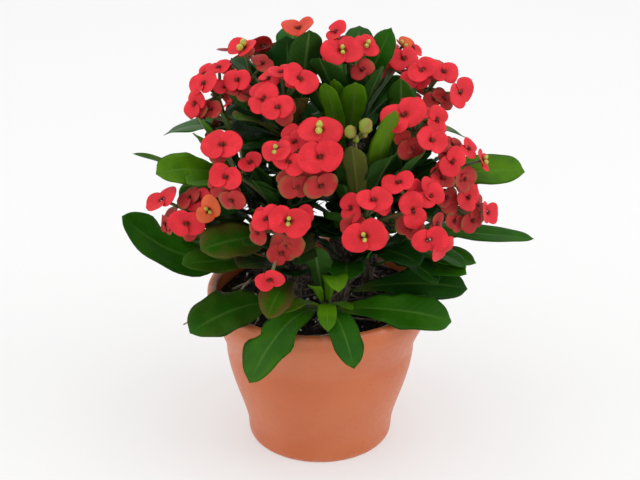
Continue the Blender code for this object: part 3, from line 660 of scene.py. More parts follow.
def bark_finish(stems):
    material, tree, shader = new_finish("fissured_bark", 0.88, 0.0, 0.3)
    along, around = chart_place(tree)
    place = object_place(tree)
    stretched = add(tree, "ShaderNodeMapping", {"Vector": place, "Scale": (1, 1, 0.22)}).outputs[0]
    cleft, ridges = add_clouds(tree, stretched, 900, paint(stems.cleft), paint(stems.bark),
                               low=0.42, high=0.6)
    shade = times(tree, add_veins(tree, along, around, count=16, slant=0.06, width=0.06), 0.6)
    colour = blend_colours(tree, shade, cleft, paint(stems.cleft))
    tree.links.new(colour, shader.inputs["Base Color"])
    add_bump(tree, shader, math(tree, "SUBTRACT", ridges, shade), 0.0007, 0.9)
    return material


def leaf_finish(leaves):
    material, tree, shader = new_finish("leaf_upper", 0.45, 0.0, 0.1)
    along, across, place = leaf_places(tree)
    age = mark(tree, "age")
    grown = blend_colours(tree, ramp(tree, age, 0, 0.4), paint(leaves.mature), paint(leaves.grown))
    tone = blend_colours(tree, ramp(tree, age, 0.4, 1), grown, paint(leaves.young))
    deep = blend_colours(tree, 1.0, tone, (0.62, 0.74, 0.7, 1), "MULTIPLY")
    cloud, lit = add_clouds(tree, place, 75, deep, tone, low=0.38, high=0.66)
    waver = add(tree, "ShaderNodeTexNoise", {"Vector": place, "Scale": 130}).outputs[0]
    veins = add_veins(tree, along, across, count=15, slant=0.17, width=0.12,
                      waver=times(tree, waver, 0.05))
    veins = times(tree, veins, ramp(tree, across, 1.0, 0.5, 0, 1))
    midrib = times(tree, ramp(tree, across, 0.02, 0.1, 1, 0), ramp(tree, along, 0.55, 1.0, 1, 0.1))
    pale = blend_colours(tree, 0.5, tone, (0.13, 0.26, 0.05, 1))
    lines = math(tree, "MAXIMUM", times(tree, midrib, 0.6), times(tree, veins, 0.07))
    colour = blend_colours(tree, lines, cloud, pale)
    margin = ramp(tree, across, 0.955, 1.0, 0, 0.35)
    colour = blend_colours(tree, margin, colour, pale)
    _, patch = add_clouds(tree, place, 95, BLACK, WHITE, low=0.4, high=0.6)
    reach = math(tree, "ADD", ramp(tree, across, 0.2, 0.95, 0, 0.75), times(tree, patch, 0.4))
    red = times(tree, mark(tree, "flush"), reach)
    colour = blend_colours(tree, red, colour, paint(leaves.flush))
    foot = ramp(tree, along, 0.02, 0.22, 0.6, 0)
    colour = blend_colours(tree, foot, colour, (0.12, 0.15, 0.03, 1))
    tree.links.new(colour, shader.inputs["Base Color"])
    grain = add_grain(tree, place, coarse=380, fine=1600)
    add_bump(tree, shader, math(tree, "SUBTRACT", times(tree, grain, 0.6), veins), 0.0001, 0.7)
    tree.links.new(ramp(tree, lit, 0, 1, 0.38, 0.5), shader.inputs["Roughness"])
    return material


def leaf_back_finish(leaves):
    material, tree, shader = new_finish("leaf_underside", 0.55, 0.0, 0.1)
    along, across, place = leaf_places(tree)
    tone = blend_colours(tree, ramp(tree, mark(tree, "age"), 0.1, 0.9),
                         paint(leaves.under), paint(leaves.young))
    deep = blend_colours(tree, 1.0, tone, (0.72, 0.8, 0.75, 1), "MULTIPLY")
    cloud, _ = add_clouds(tree, place, 90, tone, deep)
    veins = add_veins(tree, along, across, count=15, slant=0.17, width=0.16)
    midrib = ramp(tree, across, 0.02, 0.14, 0.8, 0)
    lines = math(tree, "MAXIMUM", times(tree, veins, 0.15), midrib)
    colour = blend_colours(tree, lines, cloud, (0.10, 0.17, 0.04, 1))
    red = times(tree, mark(tree, "flush"), 0.7)
    colour = blend_colours(tree, red, colour, paint(leaves.flush))
    tree.links.new(colour, shader.inputs["Base Color"])
    add_bump(tree, shader, lines, 0.0002, 0.7)
    return material


def bract_finish(flowers, back=False):
    material, tree, shader = new_finish("bract_back" if back else "bract_face", 0.5, 0.0, 0.2)
    around, out = chart_place(tree)
    place = object_place(tree)
    age = mark(tree, "age")
    prime = flowers.back if back else flowers.fresh
    tone = blend_colours(tree, mark(tree, "flush"), paint(prime), paint(flowers.young))
    # Darkens towards the old bracts' red, which is partly real fading and partly painted shade
    tone = blend_colours(tree, age, tone, paint(flowers.dull))
    shade = blend_colours(tree, 1.0, tone, (0.84, 0.8, 0.8, 1), "MULTIPLY")
    cloud, lit = add_clouds(tree, place, 150, shade, tone, low=0.42, high=0.62)
    waver = add(tree, "ShaderNodeTexNoise", {"Vector": place, "Scale": 260}).outputs[0]
    veins = add_veins(tree, around, out, count=22, slant=0, width=0.2,
                      waver=times(tree, waver, 0.06))
    veins = times(tree, veins, ramp(tree, out, 0.95, 0.5, 0.2, 1))
    darker = blend_colours(tree, 1.0, tone, (0.66, 0.55, 0.6, 1), "MULTIPLY")
    colour = blend_colours(tree, times(tree, veins, 0.45), cloud, darker)
    heart = ramp(tree, out, 0.3, 0.08, 0, 0.4)
    colour = blend_colours(tree, heart, colour, (0.62, 0.12, 0.02, 1))
    green = times(tree, times(tree, age, age), times(tree, lit, ramp(tree, out, 0.66, 1.0)))
    colour = blend_colours(tree, green, colour, paint(flowers.rim))
    if back:
        colour = blend_colours(tree, ramp(tree, out, 0.6, 0.05, 0, 0.5), colour, paint(flowers.rim))
    tree.links.new(colour, shader.inputs["Base Color"])
    grain = add_grain(tree, place, coarse=700, fine=2500)
    add_bump(tree, shader, math(tree, "SUBTRACT", grain, veins), 0.00012, 0.8)
    return material


def stalk_finish(flowers):
    material, tree, shader = new_finish("green_stalk", 0.5, 0.05)
    place = object_place(tree)
    cloud, _ = add_clouds(tree, place, 120, paint(flowers.stalk), (0.2, 0.09, 0.04, 1),
                          low=0.45, high=0.7)
    tree.links.new(cloud, shader.inputs["Base Color"])
    add_bump(tree, shader, add_grain(tree, place, coarse=900, fine=2600), 0.0002, 0.6)
    return material


# ------------------------------------------------------------------ mesh tools

def polar(azimuth, radius, height):
    """A point in millimetres, from its azimuth in degrees, radius and height."""
    turn = radians(azimuth)
    return Vector((radius * sin(turn), -radius * cos(turn), height))


def curved(start, guide, end, share):
    """A point of the quadratic curve from start to end that is drawn towards guide."""
    rest = 1 - share
    return start * rest ** 2 + guide * (2 * share * rest) + end * share ** 2


def new_work():
    """An empty bmesh with the chart and the marks that the finishes read."""
    work = bmesh.new()
    work.loops.layers.uv.new(CHART)
    for name in MARKS:
        work.verts.layers.float.new(name)
    return work


def set_marks(work, verts, age=0.0, flush=0.0):
    for layer, value in zip(work.verts.layers.float.values(), (age, flush)):
        for vert in verts:
            vert[layer] = value


def add_skin(work, rings, around, place, level=None, finishes=(0, 0), age=0.0, flush=0.0):
    """A skin of rings whose grid wraps round on itself, front half first and then back half.

    place gives the point of a ring's step, level the chart's second value of a step, and finishes
    the material of each half. The seam stays open until the work is sealed.
    """
    grid = bmesh.ops.create_grid(work, x_segments=rings, y_segments=around, size=0.5)["verts"]
    chart = work.loops.layers.uv[CHART]
    steps = {vert: (round((vert.co.x + 0.5) * rings), round((vert.co.y + 0.5) * around))
             for vert in grid}
    for face in {face for vert in grid for face in vert.link_faces}:
        middle = sum(steps[vert][1] for vert in face.verts) / 4
        face.material_index = finishes[0] if middle < around / 2 else finishes[1]
        face.smooth = True
        for loop in face.loops:
            ring, step = steps[loop.vert]
            loop[chart].uv = (ring / rings, level(step) if level else step / around)
    for vert, (ring, step) in steps.items():
        vert.co = place(ring, step) * MM
    set_marks(work, grid, age, flush)


def add_tube(work, points, radii, sides, finish=0, age=0.0, flush=0.0, swell=None):
    """A round tube through the points; swell changes its radius by its ring and side."""
    near = [point - before for before, point in zip(points, points[1:])]
    ways = [(first + second).normalized()
            for first, second in zip([near[0], *near], [*near, near[-1]])]
    helper = UP if abs(ways[0].z) < 0.9 else Vector((1, 0, 0))
    side = ways[0].cross(helper).normalized()
    frames = []
    for way in ways:
        side = (side - way * side.dot(way)).normalized()
        frames.append((side, way.cross(side)))

    def place(ring, step):
        angle = 2 * pi * (step % sides) / sides
        first, second = frames[ring]
        grow = swell(ring, step % sides) if swell else 1
        return points[ring] + (first * cos(angle) + second * sin(angle)) * (radii[ring] * grow)

    add_skin(work, len(points) - 1, sides, place, finishes=(finish, finish), age=age, flush=flush)


def add_lump(work, middle, size, chance, finish=0, rough=0.25):
    """A small rounded lump with an uneven surface."""
    angle = chance.uniform(0, 2 * pi)
    turn = Matrix.Rotation(angle, 4, Vector([chance.gauss(0, 1) for _ in "xyz"]))
    stretch = Matrix.Diagonal((*[size / 2 * chance.uniform(0.7, 1.2) * MM for _ in "xyz"], 1))
    lump = bmesh.ops.create_icosphere(work, subdivisions=1, radius=1,
                                      matrix=Matrix.Translation(middle * MM) @ turn @ stretch)
    for vert in lump["verts"]:
        vert.co += (vert.co - middle * MM) * chance.uniform(-rough, rough)
    for face in {face for vert in lump["verts"] for face in vert.link_faces}:
        face.material_index = finish
        face.smooth = True
    set_marks(work, lump["verts"])


def sealed(work):
    """The bmesh with its seams merged, its ends closed and its faces turned outwards."""
    bmesh.ops.remove_doubles(work, verts=work.verts, dist=0.000002)
    rims = [edge for edge in work.edges if edge.is_boundary]
    bmesh.ops.holes_fill(work, edges=rims, sides=0)
    bmesh.ops.recalc_face_normals(work, faces=work.faces)
    return work


def new_object(name, work, *materials):
    """An object in the scene that holds the bmesh, which is freed."""
    mesh = bpy.data.meshes.new(name)
    work.to_mesh(mesh)
    work.free()
    for material in materials:
        mesh.materials.append(material)
    made = bpy.data.objects.new(name, mesh)
    bpy.context.scene.collection.objects.link(made)
    return made


def new_piece(name, work, materials, slot, *nodes):
    """The finished piece: its mesh, finishes and body, with the nodes it takes the place of hidden.
    The slot is not used.
    """
    piece = new_object(name, sealed(work), *materials)
    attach(piece, "root")
    if nodes:
        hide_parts(*nodes)
    return piece


def turned(work, outline, steps):
    """Spin the outline once round Z into a closed solid."""
    knots = [work.verts.new((point.x * MM, 0, point.y * MM)) for point in outline]
    edges = [work.edges.new(pair) for pair in zip(knots, knots[1:])]
    bmesh.ops.spin(work, geom=knots + edges, axis=UP, cent=(0, 0, 0), angle=2 * pi, steps=steps,
                   use_merge=True)
    for face in work.faces:
        face.smooth = True


# ------------------------------------------------------------------ pot and soil

def wall_radius(height):
    """The outside radius of the pot's wall."""
    if height >= COLLAR_FOOT:
        return RIM_RADIUS
    if height >= SHOULDER_HEIGHT:
        share = (height - SHOULDER_HEIGHT) / (COLLAR_FOOT - SHOULDER_HEIGHT)
        eased = share + COLLAR_EASE * (share ** 2 * (3 - 2 * share) - share)
        return SHOULDER_RADIUS + (RIM_RADIUS - SHOULDER_RADIUS) * eased
    if height >= WAIST_HEIGHT:
        share = (height - WAIST_HEIGHT) / (SHOULDER_HEIGHT - WAIST_HEIGHT)
        return WAIST_RADIUS + (SHOULDER_RADIUS - WAIST_RADIUS) * sin(share ** BELLY * pi / 2)
    return BASE_RADIUS + (WAIST_RADIUS - BASE_RADIUS) * height / WAIST_HEIGHT


def bore_radius(height):
    return min(wall_radius(height) - WALL, RIM_RADIUS - RIM_THICKNESS)


def heights(top, bottom, steps):
    return [top + (bottom - top) * step / steps for step in range(steps + 1)]


def pot_outline():
    """Half the pot, up the inside, over the rim and down the outside."""
    bead = RIM_THICKNESS / 2
    bead_middle = Vector((RIM_RADIUS - bead, POT_HEIGHT - bead))
    outline = [Vector((0, FLOOR_TOP)), Vector((bore_radius(FLOOR_TOP) - FLOOR_FILLET, FLOOR_TOP))]
    outline += [Vector((bore_radius(h), h))
                for h in heights(FLOOR_TOP + FLOOR_FILLET, WALL_TOP, 30)]
    outline += [bead_middle + Vector((sin(angle), cos(angle))) * bead
                for angle in (radians(turn) for turn in range(-90, 91, 15))]
    outline += [Vector((wall_radius(h), h)) for h in heights(WALL_TOP, BASE_ROUNDING + 0.5, 48)]
    corner = Vector((BASE_RADIUS - BASE_ROUNDING, BASE_ROUNDING))
    outline += [corner + Vector((cos(angle), -sin(angle))) * BASE_ROUNDING
                for angle in (radians(turn) for turn in range(0, 91, 18))]
    return outline + [Vector((BASE_RADIUS - FOOT_RING, 0)), Vector((0, 0))]


class EUPHORBIA_OT_pot(bpy.types.Operator):
    """Build the pot with its collar rim and drainage holes"""
    bl_idname = "euphorbia.pot"
    bl_label = "Pot"

    def execute(self, context):
        blank_work = new_work()
        turned(blank_work, pot_outline(), POT_STEPS)
        blank = new_object("pot_blank", sealed(blank_work))
        drill_work = bmesh.new()
        for index in range(DRAINS):
            place = polar(360 * (index + 0.5) / DRAINS, DRAIN_CIRCLE, FLOOR_TOP / 2) * MM
            bmesh.ops.create_cone(drill_work, cap_ends=True, segments=32, radius1=DRAIN_RADIUS * MM,
                                  radius2=DRAIN_RADIUS * MM, depth=4 * FLOOR_TOP * MM,
                                  matrix=Matrix.Translation(place))
        drill = new_object("pot_drill", drill_work)
        cut = blank.modifiers.new("drains", "BOOLEAN")
        cut.operation, cut.solver, cut.object = "DIFFERENCE", "EXACT", drill
        context.view_layer.update()
        graph = context.evaluated_depsgraph_get()
        drilled = bpy.data.meshes.new_from_object(blank.evaluated_get(graph))
        for thing in (blank, drill):
            bpy.data.objects.remove(thing)
        work = bmesh.new()
        work.from_mesh(drilled)
        pot = new_piece("pot_shell", work, [pot_finish(context.scene.euphorbia_pot)], "pot", "pot")
        pot.data.set_sharp_from_angle(angle=radians(50))
        return {"FINISHED"}


def soil_top(x, y):
    """The height of the soil's surface, uneven over the crown."""
    reach = Vector((x, y)).length
    rim = bore_radius(SOIL_HEIGHT) - SOIL_GAP
    crown = SOIL_CROWN * max(0, 1 - (reach / rim) ** 2)
    broad = noise.noise(Vector((x, y, 0)) * 0.07) * 2.2
    fine = noise.fractal(Vector((x, y, 7)) * 0.32, 0.6, 2.0, 4) * 1.5
    return SOIL_HEIGHT + crown + (broad + fine) * min(1, (rim + 1 - reach) / 6)


class EUPHORBIA_OT_soil(bpy.types.Operator):
    """Build the potting mix with its crumbs, white grains and dry twigs"""
    bl_idname = "euphorbia.soil"
    bl_label = "Soil"

    def execute(self, context):
        soil = context.scene.euphorbia_soil
        rim = bore_radius(SOIL_HEIGHT) - SOIL_GAP
        work = new_work()
        outline = [Vector((rim * step / SOIL_RINGS, SOIL_HEIGHT)) for step in range(SOIL_RINGS + 1)]
        outline += [Vector((bore_radius(h) - SOIL_GAP, h))
                    for h in heights(SOIL_HEIGHT - 1, FLOOR_TOP + 2.5, 8)]
        outline += [Vector((bore_radius(FLOOR_TOP) - 3, FLOOR_TOP + SOIL_GAP)),
                    Vector((0, FLOOR_TOP + SOIL_GAP))]
        turned(work, outline, SOIL_STEPS)
        for vert in work.verts:
            if vert.co.z > (SOIL_HEIGHT - 1) * MM:
                vert.co.z = soil_top(vert.co.x / MM, vert.co.y / MM) * MM
        mix = soil_finish(soil)
        new_piece("soil_plug", work, [mix], "soil", "soil")

        chance = Random(SOIL_SEED)
        scattered = []
        for _ in range(soil.crumbs + soil.grains):
            reach = (rim - 2) * chance.random() ** 0.5
            scattered.append(polar(chance.uniform(-180, 180), reach, 0))
        work = new_work()
        for spot in scattered[:soil.crumbs]:
            size = chance.choice(CRUMB_SIZES)
            spot.z = soil_top(spot.x, spot.y) + size * 0.15
            add_lump(work, spot, size, chance, chance.choice((0, 0, 1)), rough=0.3)
        dry = soil_finish(soil, "dry_crumbs", 0.14)
        new_piece("soil_crumbs", work, [mix, dry], "soil", "soil")

        work = new_work()
        for spot in scattered[soil.crumbs:]:
            size = chance.choice(GRAIN_SIZES)
            spot.z = soil_top(spot.x, spot.y) + size * 0.3
            add_lump(work, spot, size, chance, rough=0.22)
        white = plain_finish("perlite", (0.75, 0.73, 0.70), (0.5, 0.47, 0.43), 500, 0.9, 0.0004)
        new_piece("perlite_grains", work, [white], "soil", "soil")

        work = new_work()
        for start, end, thick in DRY_TWIGS:
            points, radii = [], []
            for step in range(TWIG_STEPS + 1):
                point = polar(*start).lerp(polar(*end), step / TWIG_STEPS)
                wiggle = noise.noise_vector(point * 0.11) * 2.4 * sin(pi * step / TWIG_STEPS)
                points.append(point + Vector((wiggle.x, wiggle.y, abs(wiggle.z) * 0.4)))
                radii.append(thick * (1 - TWIG_TAPER * step / TWIG_STEPS))
            add_tube(work, points, radii, 7)
        straw = plain_finish("dry_twig", (0.42, 0.34, 0.25), (0.16, 0.11, 0.075), 300, 0.8, 0.0004)
        new_piece("dry_twigs", work, [straw], "bark")
        return {"FINISHED"}


# ------------------------------------------------------------------ stems

def stem_point(stem, share):
    """The middle of a stem at a share of its height above the soil."""
    foot_azimuth, foot_radius, tip_azimuth, tip_radius, tip_height, _ = STEMS[stem]
    foot = polar(foot_azimuth, foot_radius, SOIL_HEIGHT)
    tip = polar(tip_azimuth, tip_radius, tip_height)
    return curved(foot, foot + UP * (STEM_BEND * (tip_height - SOIL_HEIGHT)), tip, share)


def stem_radius(stem, share):
    return STEMS[stem][5] / 2 * (1 - (1 - STEM_TAPER) * share)


def beside_stem(stem, share, target, half_thickness):
    """Where a stalk or petiole starts, just inside the bark on the target's side."""
    middle = stem_point(stem, share)
    along = (middle - stem_point(stem, share - 0.01)).normalized()
    aside = target - middle
    aside = (aside - along * aside.dot(along)).normalized()
    return middle + aside * (stem_radius(stem, share) + half_thickness - 1.2)


class EUPHORBIA_OT_stems(bpy.types.Operator):
    """Build the woody stems with their leaf scars and spines"""
    bl_idname = "euphorbia.stems"
    bl_label = "Stems"

    def execute(self, context):
        stems = context.scene.euphorbia_stems
        bark = bark_finish(stems)
        horn = plain_finish("spine", stems.spine, [0.55 * part for part in stems.spine], 200, 0.6,
                            0.0002)
        longest = stems.spine_length / MM
        for number, stem in enumerate(STEMS):
            chance = Random(STEM_SEED + number)
            work = new_work()
            shares = [step / STEM_RINGS for step in range(STEM_RINGS + 1)]
            points = [stem_point(stem, 0) - UP * ROOT_DEPTH]
            points += [stem_point(stem, share) for share in shares]
            radii = [stem_radius(stem, 0)]
            radii += [stem_radius(stem, share) * (1 if share < 1 else 0.55) for share in shares]

            def swell(ring, side):
                angle = 2 * pi * side / STEM_SIDES
                spot = Vector((cos(angle), sin(angle), ring * 0.35 + number * 9))
                scar = 0.07 * exp(-((ring % SCAR_SPACING - 2) / 0.8) ** 2)
                lumps = 0.09 * noise.noise(spot * 1.6) + 0.07 * noise.noise(spot * 4)
                return 0.98 + lumps + scar

            add_tube(work, points, radii, STEM_SIDES, swell=swell)
            count = stems.spines if stem != "basal" else stems.spines // 3
            for index in range(count):
                share = 0.06 + 0.9 * (index + chance.uniform(0.1, 0.9)) / count
                middle = stem_point(stem, share)
                along = (stem_point(stem, share + 0.01) - middle).normalized()
                first = along.orthogonal().normalized()
                angle = index * SPINE_TURN + chance.uniform(-0.4, 0.4)
                out = Matrix.Rotation(angle, 3, along) @ first
                out = (out + along * chance.uniform(-0.1, 0.45)).normalized()
                length = longest * chance.uniform(0.45, 1.0)
                foot = middle + out * (stem_radius(stem, share) * 0.85)
                points = [foot, foot + out * length * 0.35, foot + out * length * 0.75 + UP * 0.2,
                          foot + out * length + UP * 0.5]
                add_tube(work, points, SPINE_RADII, 5, finish=1)
            new_piece(f"bark_{stem}", work, [bark, horn], "bark", f"stem_{stem}")
        return {"FINISHED"}


# ------------------------------------------------------------------ leaves

def blade_half_width(share, width):
    """Half the width of a leaf at a share of its length: a petiole that opens into a blade."""
    power = log(0.5) / log(LEAF_WIDEST)
    blade = max(0, sin(pi * share ** power)) ** LEAF_ROUNDNESS
    return PETIOLE_WIDTH / 2 * (1 - share ** 6) + (width - PETIOLE_WIDTH) / 2 * blade


def add_leaf(work, leaf, seed, half_thickness, notch=None):
    """One leaf: a folded, wavy blade with a groove over its midrib and a rib under it."""
    stem, height, place, width, arch, roll, young, red = leaf
    chance = Random(seed)
    tip = polar(*place)
    base = beside_stem(stem, height, tip, PETIOLE_WIDTH / 2)
    guide = base.lerp(tip, 0.5) + UP * (2 * arch)
    aside = (tip - base).cross(UP).normalized()
    phase = [chance.uniform(0, 2 * pi) for _ in range(4)]
    wave = chance.uniform(0.07, 0.2) * (1 - 0.4 * young)
    waves = chance.uniform(1.8, 3.4)
    last = len(ACROSS) - 1

    def across(step):
        return ACROSS[step if step <= last else 2 * last - step]

    def spot(ring, step):
        share = 1 - (1 - ring / LEAF_RINGS) ** 1.5
        edge = across(step)
        half_side = int(edge > 0)
        middle = curved(base, guide, tip, share)
        way = (curved(base, guide, tip, share + 0.01) - middle).normalized()
        side = Matrix.Rotation(radians(roll) * min(share * 2.5, 1), 3, way) @ aside
        out = side.cross(way)
        half = blade_half_width(share, width)
        half *= 1 + 0.04 * sin(share * 13 + phase[half_side]) + 0.025 * sin(share * 31 + phase[3])
        if notch and edge * notch[0] > 0:
            _, where, depth = notch
            half *= 1 - depth * exp(-((share - where) / NOTCH_WIDTH) ** 2)
        ripple = wave * sin(2 * pi * waves * share + phase[2 + half_side]) * sin(pi * share)
        lift = half * (LEAF_FOLD * abs(edge) ** 1.4 + ripple * edge ** 2)
        body = half_thickness * (1 - 0.7 * edge ** 2 - 0.3 * edge ** 8) * (1.25 - 0.6 * share)
        rib = (1 - share) ** 0.7 * exp(-(edge / 0.12) ** 2)
        if step <= last:
            lift += body - 0.35 * rib * min(1, share * 6)
        else:
            lift -= body + 0.8 * rib
        if step % (2 * last) == 0 or step == last:
            lift = half * (LEAF_FOLD + ripple)
        end = way * (LEAF_TIP if ring == LEAF_RINGS else 0)
        return middle + side * (edge * half) + out * lift * min(1, (1 - share) * 30) + end

    add_skin(work, LEAF_RINGS, 2 * last, spot, lambda step: (across(step) + 1) / 2, (0, 1), young,
             red)


def inner_leaves(stem, count, seed):
    """Dark leaves in a spiral up the shaded part of a stem."""
    chance = Random(seed)
    made = []
    for index in range(count):
        share = 0.35 + 0.6 * index / count
        foot = stem_point(stem, share)
        length = chance.uniform(30, 42) if stem.startswith("centre") else chance.uniform(23, 31)
        turn = chance.uniform(-20, 20) + index * INNER_TURN
        way = polar(turn, 1, chance.uniform(0.25, 0.9)).normalized()
        tip = foot + way * length
        reach = Vector((tip.x, tip.y)).length
        azimuth = Vector((-tip.y, tip.x)).angle_signed(Vector((1, 0)))
        place = (azimuth * 180 / pi, reach, tip.z)
        made.append((stem, share, place, chance.uniform(17, 23), chance.uniform(1, 5), 0,
                     chance.uniform(0, 0.25), 0))
    return made


class EUPHORBIA_OT_leaves(bpy.types.Operator):
    """Build the large leaves that show round the outside"""
    bl_idname = "euphorbia.leaves"
    bl_label = "Large leaves"

    def execute(self, context):
        leaves = context.scene.euphorbia_leaves
        finishes = [leaf_finish(leaves), leaf_back_finish(leaves)]
        for index, leaf in enumerate(LEAVES, start=1):
            work = new_work()
            add_leaf(work, leaf, LEAF_SEED + index, leaves.thickness / MM / 2, NOTCHES.get(index))
            new_piece(f"blade_{index:02d}", work, finishes, "leaf", f"leaf_{index:02d}")
        return {"FINISHED"}


class EUPHORBIA_OT_inner_leaves(bpy.types.Operator):
    """Build the smaller leaves and the shaded leaves inside, one piece for each stem"""
    bl_idname = "euphorbia.inner_leaves"
    bl_label = "Small and inner leaves"

    def execute(self, context):
        leaves = context.scene.euphorbia_leaves
        finishes = [bpy.data.materials[name] for name in ("leaf_upper", "leaf_underside")]
        for number, stem in enumerate(STEMS):
            work = new_work()
            group = [(stem, *leaf) for leaf in MORE_LEAVES[stem]]
            group += inner_leaves(stem, INNER_LEAVES.get(stem, 0), INNER_SEED + number)
            for index, leaf in enumerate(group, start=SMALL_SEED + SMALL_SEED_STEP * number):
                add_leaf(work, leaf, index, leaves.thickness / MM / 2)
            new_piece(f"small_leaves_{stem}", work, finishes, "leaf")
        return {"FINISHED"}


# ------------------------------------------------------------------ flower heads

STALK, CUP, NECTAR, FACE, BACK, LATE = range(6)


def face_axes(azimuth, lift):
    """The way a face looks, its upward direction and its right-hand direction."""
    out = polar(azimuth, cos(radians(lift)), sin(radians(lift)))
    up = (UP - out * out.z).normalized()
    return out, up, up.cross(out)


def add_bract(work, middle, out, along, reach, tilt, half_thickness, chance, age, flush):
    """One rounded bract: kidney-shaped, cupped and wavy, its side lobes lapping its partner's."""
    across = out.cross(along)
    phase = chance.uniform(0, 2 * pi)
    lean = radians(tilt + chance.uniform(-12, 12))
    cup = chance.uniform(0.0, 0.2)
    width = chance.uniform(0.92, 1.1)
    reach *= chance.uniform(0.92, 1.06)
    last = len(RADIAL) - 1

    def radial(step):
        return RADIAL[step if step <= last else 2 * last - step]

    def spot(ring, step):
        turn = (2 * ring / BRACT_RINGS - 1) * BRACT_SPREAD
        share = radial(step)
        lobe = max(0, 1 - abs(turn / BRACT_SPREAD) ** 6) ** 0.5
        chord = (BRACT_ROUND ** 2 - (BRACT_OFFSET * sin(turn)) ** 2) ** 0.5
        round_edge = BRACT_OFFSET * cos(turn) + chord
        edge = reach * lobe * round_edge * (1 - (1 - width) * sin(turn) ** 2)
        edge *= 1.02 if ring == BRACT_RINGS // 2 else 1 + 0.035 * sin(turn * 4 + phase)
        distance = edge * share
        forward = distance * cos(turn)
        lift = edge * (cup * share ** 2 - 0.05 * share ** 5)
        lift += edge * 0.07 * share ** 2 * sin(turn * 3 + phase)
        lift += 0.55 * turn / BRACT_SPREAD + forward * sin(lean)
        lift -= 0.035 * reach * exp(-(turn / 0.22) ** 2) * share
        swelling = max(0, sin(pi * (share - RADIAL[0]) / (1 - RADIAL[0]))) ** 0.5
        body = half_thickness * swelling * lobe
        lift += body if step <= last else -body
        return middle + along * (forward * cos(lean)) + across * (distance * sin(turn)) + out * lift

    add_skin(work, BRACT_RINGS, 2 * last, spot, radial, (FACE, BACK), age, flush)


def add_bud(work, foot, way, length, finish):
    """A small egg-shaped bud on its foot."""
    points = [foot + way * (length * share) for share, _ in BUD_OUTLINE]
    add_tube(work, points, [length * radius for _, radius in BUD_OUTLINE], 8, finish)


def add_cup(work, middle, out, along, stage, chance):
    """The little cup in a flower's middle with its five glands, and buds beside an open one."""
    across = out.cross(along)
    points = [middle + out * rise for rise, _ in CUP_OUTLINE]
    add_tube(work, points, [radius for _, radius in CUP_OUTLINE], 8, CUP)
    for index in range(GLANDS):
        angle = 2 * pi * index / GLANDS + chance.uniform(-0.2, 0.2)
        aside = along * cos(angle) + across * sin(angle)
        gland = NECTAR if stage in ("open", "budding") else CUP
        add_lump(work, middle + aside * 0.6 + out * 1.3, 0.5, chance, gland, rough=0.08)
    if stage in SIDE_BUDS:
        for sign in (-1, 1):
            lean = (out + across * (0.45 * sign) + along * chance.uniform(-0.15, 0.15)).normalized()
            foot = middle + across * (sign * 0.9) + out * 0.6
            add_bud(work, foot, lean, SIDE_BUDS[stage], NECTAR)


def spare_flowers(count, chance):
    """The flowers that open behind and below those at the front of a head."""
    made = []
    for index in range(count):
        clock = 360 * index / count + chance.uniform(20, 90)
        # Flowers below the head's middle, and about a quarter of the rest, take the old stage,
        # whose darker red is painted shade as well as fading
        stage = "dull" if 100 < clock % 360 < 260 or chance.random() < 0.25 else "fresh"
        made.append((clock, chance.uniform(*SPARE_REACH), chance.uniform(*SPARE_DEPTH),
                     chance.uniform(0, 180), chance.uniform(*SPARE_WIDTH), stage))
    return made


